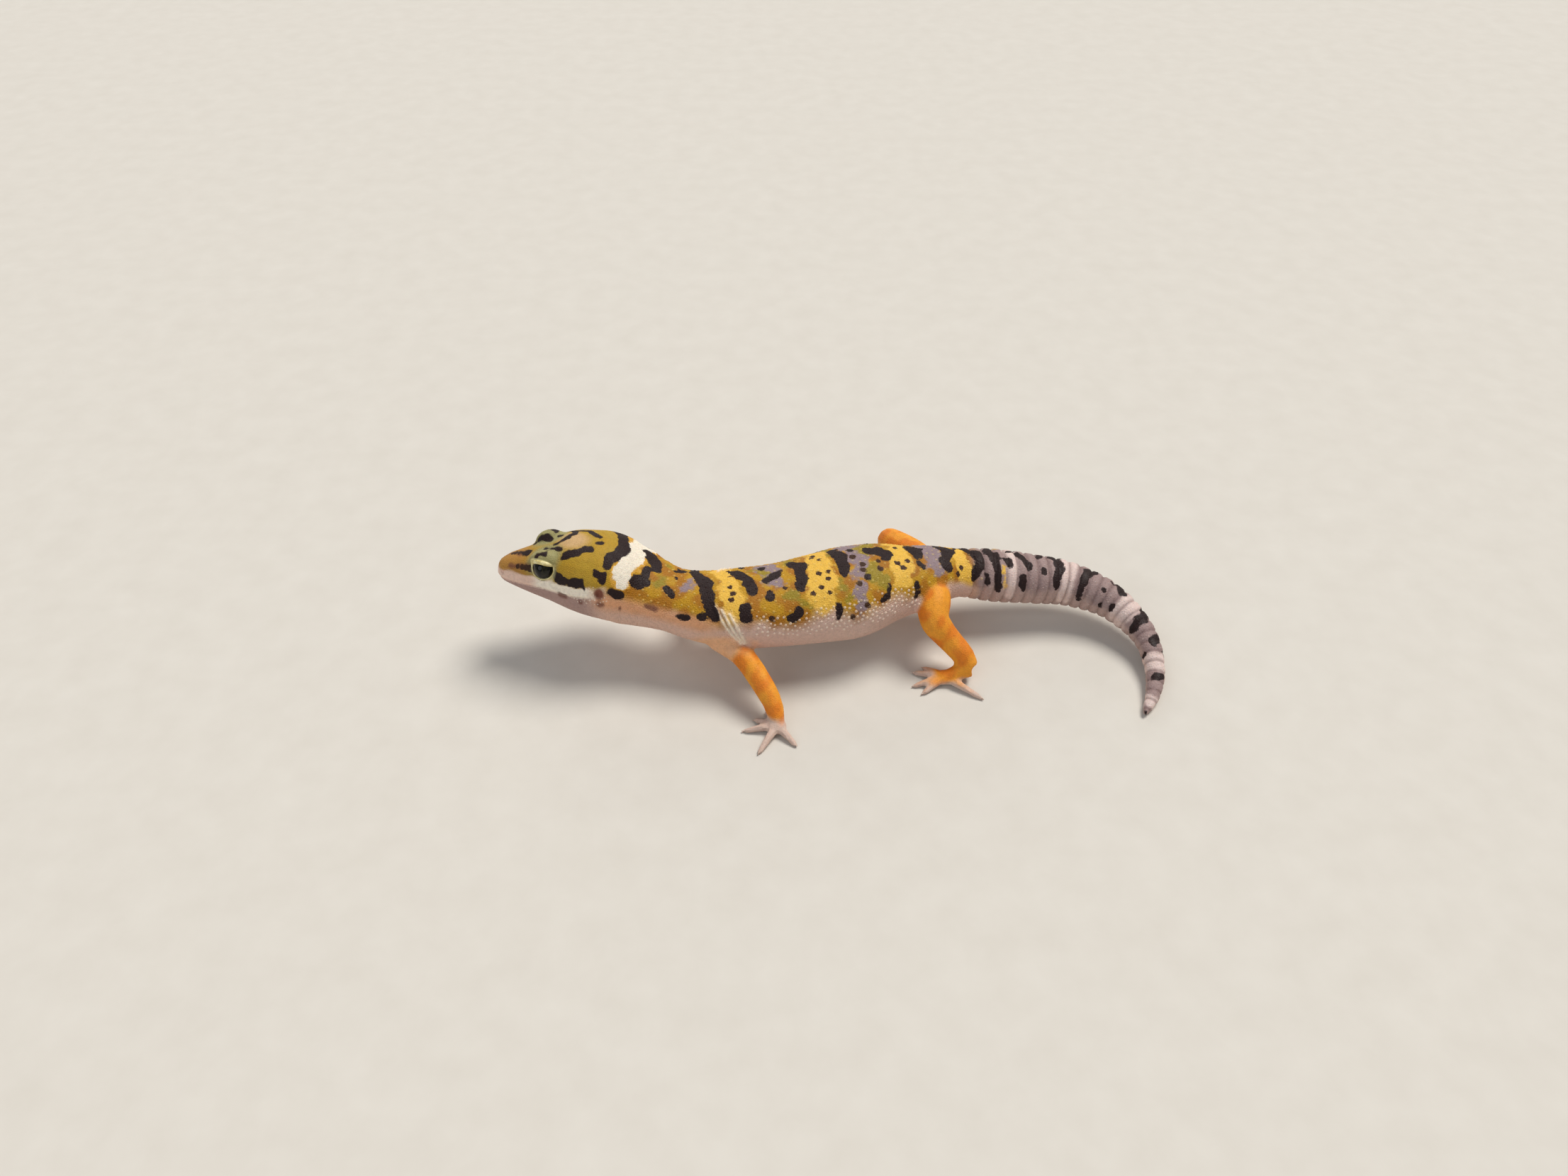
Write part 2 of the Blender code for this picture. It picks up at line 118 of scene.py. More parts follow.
# Each leg's line from inside the body to the middle of its sole, with its radius, and the tips of its toes
legs = {
    "front_left": {
        "line": [
            (25.5, -4.7, -9.0, 3.3),
            (27.8, -7.5, -10.6, 2.8),
            (32.0, -11.5, -11.6, 2.05),
            (35.0, -15.3, -13.6, 1.9),
            (37.1, -18.5, -15.6, 1.7),
            (37.9, -20.5, -17.3, 1.4),
            (37.9, -21.5, -18.2, 1.1),
        ],
        "toes": [(35.9, -17.5), (33.8, -19.4), (32.1, -22.0), (34.8, -27.1), (41.3, -25.4)],
    },
    "front_right": {
        "line": [
            (26.6, -3.1, -9.0, 2.9),
            (25.5, 1.5, -10.2, 2.5),
            (23.6, 6.7, -12.0, 2.1),
            (20.5, 9.3, -14.0, 2.0),
            (17.3, 11.5, -16.0, 1.7),
            (15.9, 12.3, -17.3, 1.4),
            (14.9, 12.8, -18.2, 1.1),
        ],
        "toes": [(13.1, 8.8), (9.6, 10.5), (8.9, 13.5), (11.1, 16.5), (15.9, 17.2)],
    },
    "hind_left": {
        "line": [
            (64.7, 3.5, -9.4, 3.3),
            (64.6, -1.0, -8.9, 3.0),
            (64.5, -4.5, -10.4, 2.6),
            (66.6, -6.1, -12.8, 2.2),
            (69.1, -8.1, -14.8, 2.0),
            (70.6, -9.6, -16.8, 1.7),
            (66.3, -10.5, -18.2, 1.1),
        ],
        "toes": [(62.5, -7.3), (60.7, -8.6), (60.5, -12.1), (62.0, -14.0), (72.7, -15.1)],
    },
    "hind_right": {
        "line": [
            (64.5, 6.3, -9.6, 3.4),
            (61.9, 11.1, -9.4, 3.0),
            (58.3, 16.5, -10.5, 2.4),
            (60.7, 17.8, -13.2, 2.2),
            (64.1, 18.3, -15.4, 1.9),
            (65.1, 18.5, -16.8, 1.6),
            (61.5, 18.5, -18.2, 1.1),
        ],
        "toes": [(58.1, 15.3), (56.3, 16.9), (55.9, 19.3), (57.5, 21.7), (65.9, 21.5)],
    },
}
toeMake = {"high": 0.55, "rise": 1.5, "root": 0.8, "tip": 0.4}  # its middle's height, and its radii


def smoothRows(rows, steps):  # more rows between each two, on a smooth curve through them
    rows = np.array(rows, float)
    ends = np.vstack([2 * rows[0] - rows[1], rows, 2 * rows[-1] - rows[-2]])
    made = []
    for a, b, c, d in zip(ends, ends[1:], ends[2:], ends[3:]):
        for t in np.arange(steps) / steps:
            inner = (2 - 5 * t**2 + 3 * t**3) * b + (t + 4 * t**2 - 3 * t**3) * c
            made.append(((-t + 2 * t**2 - t**3) * a + inner + (t**3 - t**2) * d) / 2)
    return np.array([*made, rows[-1]])


def ease(value, low, high):  # 0 below low, 1 above high, and smooth between
    t = np.clip((value - low) / (high - low), 0, 1)
    return t * t * (3 - 2 * t)


def hump(value, wide):  # 1 at 0, and falling away on both sides
    return np.exp(-((value / wide) ** 2))


spine = smoothRows(bodyLine, 10)
spineStep = np.linalg.norm(np.diff(spine[:, :3], axis=0), axis=1)
spineAlong = np.concatenate([[0], np.cumsum(spineStep)])
spineAhead = np.gradient(spine[:, :3], axis=0)
spineAhead /= np.linalg.norm(spineAhead, axis=1)[:, None]
spineLeft = np.cross(spineAhead, (0, 0, 1))
spineLeft /= np.linalg.norm(spineLeft, axis=1)[:, None]
spineUp = np.cross(spineLeft, spineAhead)
bodyLength = spineAlong[-1]


def onSpine(rows, along):  # what rows says for each point of the spine, at other places along it
    return np.array([np.interp(along, spineAlong, column) for column in rows.T]).T


# Distance from the snout, degrees round from mid-back to the left, radius of the section, and clearance
def bodyCoords(points):
    index = np.zeros(len(points), int)
    batch = 20000  # points measured at once
    for start in range(0, len(points), batch):
        some = points[start : start + batch]
        gaps = ((some[:, None, :] - spine[None, :, :3]) ** 2).sum(2)
        index[start : start + batch] = gaps.argmin(1)
    index = np.clip(index, 1, len(spine) - 2)
    offset = ((points - spine[index, :3]) * spineAhead[index]).sum(1)
    along = spineAlong[index] + offset
    at = onSpine(spine, along)
    out = points - at[:, :3]
    toLeft, rise = (out * onSpine(spineLeft, along)).sum(1), (out * onSpine(spineUp, along)).sum(1)
    turn = np.arctan2(toLeft, rise)
    width, height = at[:, 3], at[:, 4]
    radius = width * height / np.hypot(height * np.sin(turn), width * np.cos(turn))
    return along, np.degrees(turn), radius, np.hypot(toLeft, rise) - radius


def headCoords(points):  # back from the tip of the snout, across to the right, and up
    return ((points - snout) @ headAxes.T).T


def nearLine(points, line):  # clearance from a tapering line, and how far along it, counted in its points
    line = np.array(line, float)
    best = np.full(len(points), 1e9)
    where = np.zeros(len(points))
    for n, (a, b) in enumerate(zip(line, line[1:])):
        run = b[:3] - a[:3]
        t = np.clip(((points - a[:3]) @ run) / (run @ run), 0, 1)
        clear = np.linalg.norm(points - a[:3] - t[:, None] * run, axis=1) - (a[3] + (b[3] - a[3]) * t)
        where = np.where(clear < best, n + t, where)
        best = np.minimum(best, clear)
    return best, where


def toeLines(leg):
    pad = leg["line"][-1]
    for tip in leg["toes"]:
        root = (*pad[:2], floorUnder + toeMake["high"] * toeMake["rise"], toeMake["root"])
        yield [root, (*tip, floorUnder + toeMake["high"], toeMake["tip"])]


def toeGap(points):  # clearance from the nearest toe
    lines = [line for leg in legs.values() for line in toeLines(leg)]
    return np.min([nearLine(points, line)[0] for line in lines], axis=0)


def legGap(points):  # clearance from the nearest leg, its hand or foot included
    gaps = [nearLine(points, leg["line"])[0] for leg in legs.values()]
    return np.min([toeGap(points), *gaps], axis=0)


def eyeGap(points):  # distance from the nearer eye's middle
    return np.minimum(*[np.linalg.norm(points - fromEyes(at), axis=1) for at in eyePlaces.values()])


# Tools for meshes


def onlySelect(*things):
    if bpy.context.object and bpy.context.object.mode != "OBJECT":
        bpy.ops.object.mode_set(mode="OBJECT")
    bpy.ops.object.select_all(action="DESELECT")
    for thing in things:
        thing.select_set(True)
        bpy.context.view_layer.objects.active = thing


def newObject(name, data):
    made = bpy.data.objects.new(name, data)
    bpy.context.scene.collection.objects.link(made)
    return made


def modify(thing, kind, **settings):
    modifier = thing.modifiers.new(kind.lower(), kind)
    for key, value in settings.items():
        setattr(modifier, key, value)


def applyAll(thing):
    onlySelect(thing)
    for modifier in list(thing.modifiers):
        bpy.ops.object.modifier_apply(modifier=modifier.name)


def joined(things, name):
    onlySelect(*things)
    bpy.ops.object.join()
    made = bpy.context.object
    made.name = made.data.name = name
    return made


def settle(thing):  # its place goes into its mesh
    onlySelect(thing)
    bpy.ops.object.transform_apply(location=True, rotation=True, scale=True)


def openEdit(thing):  # with all of it selected
    onlySelect(thing)
    bpy.ops.object.mode_set(mode="EDIT")
    bpy.ops.mesh.select_all(action="SELECT")


def closeEdit():  # with its faces turned outwards
    bpy.ops.mesh.select_all(action="SELECT")
    bpy.ops.mesh.normals_make_consistent(inside=False)
    bpy.ops.object.mode_set(mode="OBJECT")


def extrude(*move):
    bpy.ops.mesh.extrude_region_move(TRANSFORM_OT_translate={"value": move})


def dress(thing, material):
    thing.data.shade_smooth()
    thing.data.materials.clear()
    thing.data.materials.append(material)


def readVectors(items, key):
    flat = np.zeros(len(items) * 3)
    items.foreach_get(key, flat)
    return flat.reshape(-1, 3)


def readPoints(thing):
    return (readVectors(thing.data.vertices, "co") - np.array(betweenEyes)) / mm


def writePoints(thing, points):
    thing.data.vertices.foreach_set("co", (points * mm + np.array(betweenEyes)).ravel())
    thing.data.update()


def writeGroup(thing, name, weights, levels=10):
    group = thing.vertex_groups.new(name=name)
    steps = np.round(np.clip(weights, 0, 1) * levels).astype(int)
    for level in range(1, levels + 1):
        group.add(np.nonzero(steps == level)[0].tolist(), level / levels, "REPLACE")


def writeField(thing, name, values, domain="POINT"):
    kind, key = ("FLOAT", "value") if values.ndim == 1 else ("FLOAT_VECTOR", "vector")
    field = thing.data.attributes.new(name, kind, domain)
    field.data.foreach_set(key, values.astype(np.float32).ravel())


# Tools for node trees


class Wire:  # a node's output, for sums written as Python
    def __init__(self, tree, socket):
        self.tree = tree
        self.socket = socket

    def sum(self, operation, *values):
        return self.tree.node("ShaderNodeMath", dict(enumerate(values)), operation=operation)

    def __add__(self, other):
        return self.sum("ADD", self, other)

    def __mul__(self, other):
        return self.sum("MULTIPLY", self, other)

    def __sub__(self, other):
        return self.sum("SUBTRACT", self, other)

    def __rsub__(self, other):
        return self.sum("SUBTRACT", other, self)

    __radd__ = __add__
    __rmul__ = __mul__


class Tree:  # a material's or a modifier's nodes
    def __init__(self, nodeTree):
        self.nodes = nodeTree.nodes
        self.links = nodeTree.links

    def feed(self, node, sockets):  # each with a value or a wire
        for key, value in sockets.items():
            if isinstance(value, Wire):
                self.links.new(value.socket, node.inputs[key])
            else:
                node.inputs[key].default_value = value

    def node(self, kind, sockets=None, out=0, **settings):
        made = self.nodes.new(kind)
        for key, value in settings.items():
            setattr(made, key, value)
        self.feed(made, sockets or {})
        return Wire(self, made.outputs[out]) if len(made.outputs) else None

    def field(self, name):
        return self.node("ShaderNodeAttribute", out="Fac", attribute_name=name)

    def named(self, name, kind="FLOAT_VECTOR"):  # the same for a modifier's nodes
        return self.node("GeometryNodeInputNamedAttribute", {"Name": name}, data_type=kind)

    def mix(self, share, first, second):
        wires = {0: share, 6: first, 7: second}
        return self.node("ShaderNodeMix", wires, out=2, data_type="RGBA")

    def step(self, value, low, high):  # from 0 to 1 as value goes from low to high
        sockets = {"Value": value, "From Min": low, "From Max": high}
        return self.node("ShaderNodeMapRange", sockets, interpolation_type="SMOOTHSTEP")

    def texture(self, kind, size, sockets, out=0):  # size is that of a blotch or a cell, in mm
        place = self.node("ShaderNodeTexCoord", out="Object")
        return self.node(f"ShaderNodeTex{kind}", {"Vector": place, "Scale": 1 / (size * mm), **sockets}, out)

    def noise(self, size, detail=2.0, rough=0.5):
        return self.texture("Noise", size, {"Detail": detail, "Roughness": rough})

    def granules(self, size):  # fine round bumps, for a Normal socket
        cells = self.texture("Voronoi", size, {}, "Distance")
        return self.node("ShaderNodeBump", {"Strength": 0.7, "Distance": 0.05 * mm, "Height": 1 - cells})


def newMaterial(name, finish):  # finish takes its tree and gives the shader's sockets
    made = bpy.data.materials.new(name)
    made.use_nodes = True
    tree = Tree(made.node_tree)
    tree.feed(made.node_tree.nodes["Principled BSDF"], finish(tree))
    return made


def srgb(*parts):  # a colour as a screen shows it, from 0 to 255
    return (*[((p / 255 + 0.055) / 1.055) ** 2.4 if p > 10 else p / 255 / 12.92 for p in parts], 1)


def mottled(tree, size, edge, first, second):  # two colours in soft blotches
    return tree.mix(tree.step(tree.noise(size), *edge), srgb(*first), srgb(*second))


# Skin: one mesh over all the flesh nodes

skinMake = {
    "bridge": 0.2,  # how far the flesh is fattened to close the cuts between nodes
    "coat": 0.08,  # depth of the scales over the skin
    "grain": 0.17,  # of the voxels that fuse it
    "smooth": (0.6, 40),  # share and rounds
    "even": (0.5, 2),
    "rims": (0.5, 16),
    "firm": {  # how much less each part is smoothed, and where that starts and is full
        "foot": (0.5, 3.5, 1.6),
        "toe": (0.9, 1.2, 0.5),
        "head": (0.55, 12, 6),
        "leg": (0.6, 1.2, 2.5),
    },
    "lidSoft": (0.2, 0.8, 1.6),
    "heel": (3.8, 2.4),  # a hind heel is soft again
    "coarse": 0.4,  # how much sooner body and legs are thinned than head and feet
    "triangles": 190000,
    "offFloor": 0.02,
}
skinGrow = skinMake["bridge"] + skinMake["coat"]

lidMake = {
    "gaze": (-0.2, 0.88, 0.43),  # which way an eye looks in the head's axes, with y outwards
    "thick": 0.12,  # of the lid's edge below, and above
    "thickTop": 0.3,
    "rim": 0.15,  # radius of the pale rim below, and above
    "rimTop": 0.4,
    "topFrom": 0.6,  # height from which the top's values hold, 1 being straight above
    "wide": 70.0,  # the opening's reach from the gaze, in degrees
    "top": 29.0,
    "topLean": 0.2,  # how much higher the top is in front
    "bottom": 57.0,
    "bottomLean": -0.12,
    "round": 2.0,
    "flatTop": 4.5,  # the same for the top, where more is flatter
    "hug": 0.85,  # share of its radius that the rim's middle lies off the opening
    "gap": 0.04,  # between eye and lid
    "shell": (224, 144),
}


def gazeOf(side):  # side is -1 on the left and 1 on the right
    back, out, up = lidMake["gaze"]
    return (backOfHead * back + acrossHead * out * side + upHead * up).normalized()


def eyeAxes(side):  # back along the lids, up across them, and out along the gaze
    gaze = gazeOf(side)
    back = (backOfHead - gaze * backOfHead.dot(gaze)).normalized()
    return back, gaze.cross(back) * (-side), gaze


def eyeArrays(side):
    return [np.array(axis) for axis in eyeAxes(side)]


def lidSize(name, turn):  # thick or rim, at a turn from back to up
    least, most = lidMake[name], lidMake[f"{name}Top"]
    return least + (most - least) * ease(np.sin(turn), 0.0, lidMake["topFrom"])


def openingReach(turn):  # how far the eye's opening reaches from the gaze at a turn, in degrees
    above, front = np.sin(turn) > 0, -np.cos(turn)
    top = lidMake["top"] * (1 + lidMake["topLean"] * front)
    high = np.where(above, top, lidMake["bottom"] * (1 + lidMake["bottomLean"] * front))
    power = np.where(above, lidMake["flatTop"], lidMake["round"])
    across, up = np.abs(np.cos(turn) / lidMake["wide"]), np.abs(np.sin(turn) / high)
    return (across**power + up**power) ** (-1 / power)


def rimReach(turn):  # the same for the middle of the rim
    return openingReach(turn) + np.degrees(lidSize("rim", turn) * lidMake["hug"] / eyeRadius)


def eyeTurn(out, side):  # degrees from the gaze, and the turn from back to up, of directions out of an eye
    back, up, gaze = eyeArrays(side)
    return np.degrees(np.arccos(np.clip(out @ gaze, -1, 1))), np.arctan2(out @ up, out @ back)


def lidShell(side):
    centre = eyePlaces[side]
    inner = eyeRadius + lidMake["gap"] - skinMake["coat"] - skinMake["bridge"]
    outer = eyeRadius + skinGrow
    segments, rings = lidMake["shell"]
    onlySelect()
    bpy.ops.mesh.primitive_uv_sphere_add(
        segments=segments, ring_count=rings, radius=outer * mm, location=centre
    )
    shell = bpy.context.object
    settle(shell)
    middle = fromEyes(centre)
    out = (readPoints(shell) - middle) / outer
    thick = lidSize("thick", eyeTurn(out, side)[1])
    writePoints(shell, middle + out * (outer + thick)[:, None])
    toFace = readVectors(shell.data.polygons, "center") - np.array(centre)
    toFace /= np.linalg.norm(toFace, axis=1)[:, None]
    fromGaze, turn = eyeTurn(toFace, side)
    narrowed = math.degrees(skinGrow / outer)
    shell.data.polygons.foreach_set("select", fromGaze < rimReach(turn) - narrowed)
    bpy.ops.object.mode_set(mode="EDIT")
    bpy.ops.mesh.select_mode(type="FACE")
    bpy.ops.mesh.delete(type="FACE")
    bpy.ops.mesh.select_mode(type="VERT")
    bpy.ops.object.mode_set(mode="OBJECT")
    modify(shell, "SOLIDIFY", thickness=(outer + lidMake["thick"] - inner) * mm, offset=-1)
    applyAll(shell)
    return shell


def fleshCopy(name):
    made = newObject(f"{name}_copy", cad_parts[name].data.copy())
    openEdit(made)
    bpy.ops.mesh.remove_doubles(threshold=1e-6)
    bpy.ops.object.mode_set(mode="OBJECT")
    modify(made, "DISPLACE", mid_level=0, strength=skinMake["bridge"] * mm)
    applyAll(made)
    return made


mouth = {
    "slope": 0.028,
    "corner": 17.7,  # how far back it reaches
    "fade": 0.6,
    "groove": 0.2,
    "narrow": 0.13,
    "lip": 0.07,
    "lipAt": (0.42, 0.25),  # off the line, and wide
}
nostril = {
    "at": (1.3, 1.3),  # back and up
    "off": 0.9,  # from the middle of the snout
    "deep": 0.3,
    "wide": 0.26,
    "edge": 0.09,
    "edgeAt": (0.45, 0.2),
}
tailRings = {"from": 82.5, "spacing": 1.95, "deep": 0.36, "narrow": 0.3, "swell": 0.3, "thick": 4.5}
axillaFolds = {"count": 3, "high": 0.4, "wide": 0.16, "valley": 0.12, "valleyWide": 0.7}
neckFolds = {"from": 26.0, "apart": 1.9, "count": 4, "deep": 0.08, "wide": 0.28, "wave": 0.25}
neckSide = (48, 66)
legSwell = 0.07


def mouthRise(back, up):  # over the line of the mouth
    return up - mouth["slope"] * back


def ringGap(along):  # from the nearest groove between two rings of the tail
    part = (along - tailRings["from"]) / tailRings["spacing"]
    return np.abs(part - np.round(part)) * tailRings["spacing"]


def strokeDepth(along, around, radius, strokes, reach=3.0):  # how deep inside the nearest stroke, in mm
    depth = np.full(len(along), -reach)
    arc = np.radians(around) * radius
    for stroke in strokes:
        for a, b in zip(stroke, stroke[1:] or stroke):
            near = (along > min(a[0], b[0]) - reach) & (along < max(a[0], b[0]) + reach)
            near = np.nonzero(near)[0]
            startArc, endArc = math.radians(a[1]) * radius[near], math.radians(b[1]) * radius[near]
            run, rise = b[0] - a[0], endArc - startArc
            length = np.maximum(run**2 + rise**2, 1e-9)
            t = np.clip(((along[near] - a[0]) * run + (arc[near] - startArc) * rise) / length, 0, 1)
            gap = np.hypot(along[near] - a[0] - t * run, arc[near] - startArc - t * rise)
            depth[near] = np.maximum(depth[near], a[2] + (b[2] - a[2]) * t - gap)
    return depth


def foldGap(along, around, radius):  # from the ridges of skin that spread from each armpit up the flank
    strokes = []
    for side in (1, -1):
        for n in range(axillaFolds["count"]):
            rows = [(37.0 + 1.15 * n, 46 + 5 * n), (38.6 + 0.8 * n, 70), (41.0 + 0.35 * n, 98)]
            strokes.append([(along, around * side, 0) for along, around in rows])
    return -strokeDepth(along, around, radius, strokes)


def ripple(points, size, seed, waves=18):  # a smooth random value about 0, in waves of about that size
    rng = np.random.default_rng(seed)
    made = np.zeros(len(points))
    for n in range(waves):
        heading = rng.normal(size=3)
        heading *= math.tau / (size * rng.uniform(0.7, 1.6) * np.linalg.norm(heading))
        made += np.sin(points @ heading + rng.uniform(0, math.tau))
    return made / 3


def carve(skin):  # mouth, nostrils, tail rings and folds
    points, normals = readPoints(skin), readVectors(skin.data.vertices, "normal")
    along, around, radius, clear = bodyCoords(points)
    side = np.abs(around)
    back, across, up = headCoords(points)
    rise = mouthRise(back, up)
    onBody = 1 - ease(clear, 0.8, 1.6)
    lipOff, lipWide = mouth["lipAt"]
    lips = hump(np.abs(rise) - lipOff, lipWide) * mouth["lip"]
    lips -= mouth["groove"] * hump(rise, mouth["narrow"])
    push = ease(mouth["corner"] - back, 0, mouth["fade"]) * lips
    pitBack, pitUp = nostril["at"]
    edgeOff, edgeWide = nostril["edgeAt"]
    for eye in (-1, 1):
        otherSide = across * eye < nostril["off"]
        pit = np.hypot(back - pitBack, up - pitUp) + 9 * otherSide
        raised = nostril["edge"] * hump(pit - edgeOff, edgeWide)
        push += raised - nostril["deep"] * hump(pit, nostril["wide"])
    ringDeep = ease(along, tailRings["from"] - 3, tailRings["from"] + 1) * onBody * tailRings["deep"]
    ringDeep *= np.clip(radius / tailRings["thick"], 0.25, 1)
    push -= ringDeep * (hump(ringGap(along), tailRings["narrow"]) - tailRings["swell"])
    push += legSwell * (ease(clear - legGap(points), 0, 1.5) * ease(along, 24, 27))
    folds = foldGap(along, around, radius)
    ridges = axillaFolds["high"] * hump(folds, axillaFolds["wide"])
    push += onBody * (ridges - axillaFolds["valley"] * hump(folds, axillaFolds["valleyWide"]))
    low = ease(side, *neckSide) * ease(112 - side, 0, 20) * onBody
    for n in range(neckFolds["count"]):
        centre = neckFolds["from"] + n * neckFolds["apart"] + np.sin(around / 14) * neckFolds["wave"]
        push -= low * neckFolds["deep"] * hump(along - centre, neckFolds["wide"])
    writePoints(skin, points + normals * push[:, None])


clearing = {  # what counts as in an opening, where it goes, and how far round the rim it is smoothed again
    "deep": 0.85,
    "high": 1.2,
    "level": 0.1,
    "turn": (12, 5),
    "near": (1.3, 0.8),
}


def clearOpenings(skin):  # moves what lies in an eye's opening to its rim, and says what is near the rim
    points = readPoints(skin)
    nearRim = np.zeros(len(points))
    for side, place in eyePlaces.items():
        back, up, gaze = eyeArrays(side)
        centre = fromEyes(place)
        out = points - centre
        far = np.linalg.norm(out, axis=1)
        off, turn = eyeTurn(out / far[:, None], side)
        reach = rimReach(turn)
        inside = (off < reach) & (far > eyeRadius * clearing["deep"]) & (far < eyeRadius + clearing["high"])
        edge, here = np.radians(reach[inside])[:, None], turn[inside]
        sideways = np.outer(np.cos(here), back) + np.outer(np.sin(here), up)
        level = np.minimum(far[inside], eyeRadius + clearing["level"])[:, None]
        points[inside] = centre + (gaze * np.cos(edge) + sideways * np.sin(edge)) * level
        close = ease(np.abs(off - reach), *clearing["turn"])
        close = close * ease(np.abs(far - eyeRadius), *clearing["near"])
        nearRim = np.maximum(nearRim, close)
    writePoints(skin, points)
    return nearRim


def smoothed(skin, name, group=""):
    factor, rounds = skinMake[name]
    modify(skin, "SMOOTH", factor=factor, iterations=rounds, vertex_group=group)


def makeSkin():
    flesh = [fleshCopy(name) for name in fleshNames]
    skin = joined([*flesh, lidShell(-1), lidShell(1)], "skin")
    modify(skin, "REMESH", mode="VOXEL", voxel_size=skinMake["grain"] * mm)
    applyAll(skin)
    points = readPoints(skin)
    measures = {
        "foot": points[:, 2] - floorUnder,
        "toe": toeGap(points),
        "head": points[:, 0],
        "leg": bodyCoords(points)[3],
    }
    there, kept = {}, {}
    for name, (share, start, end) in skinMake["firm"].items():
        there[name] = ease(measures[name], start, end)
        kept[name] = 1 - share * there[name]
    least, start, end = skinMake["lidSoft"]
    offLid = least + (1 - least) * ease(eyeGap(points) - eyeRadius, start, end)
    soft = np.prod([*kept.values(), offLid], axis=0)
    for name in ("hind_left", "hind_right"):
        heelGap = np.linalg.norm(points - legs[name]["line"][5][:3], axis=1)
        soft = np.maximum(soft, ease(heelGap, *skinMake["heel"]) * kept["toe"])
    writeGroup(skin, "soft", soft)
    smoothed(skin, "smooth", "soft")
    smoothed(skin, "even")
    modify(skin, "DISPLACE", mid_level=0, strength=-skinGrow * mm)
    applyAll(skin)
    carve(skin)
    writeGroup(skin, "nearRim", clearOpenings(skin))
    smoothed(skin, "rims", "nearRim")
    applyAll(skin)
    clearOpenings(skin)
    coarse = skinMake["coarse"] * (1 - np.maximum(there["head"], there["foot"]))
    writeGroup(skin, "coarse", coarse)
    faces = sum(len(face.vertices) - 2 for face in skin.data.polygons)
    thinned = {"ratio": min(1, skinMake["triangles"] / faces), "vertex_group": "coarse"}
    modify(skin, "DECIMATE", vertex_group_factor=1, use_collapse_triangulate=True, **thinned)
    applyAll(skin)
    skin.vertex_groups.clear()
    points = readPoints(skin)
    points[:, 2] = np.maximum(points[:, 2], floorUnder + skinMake["offFloor"])
    writePoints(skin, points)
    return skin


# Markings, in mm along from the snout, degrees round from mid-back to the left, and half width in mm
# A stroke runs through its rows. What lies on the left comes again on the right

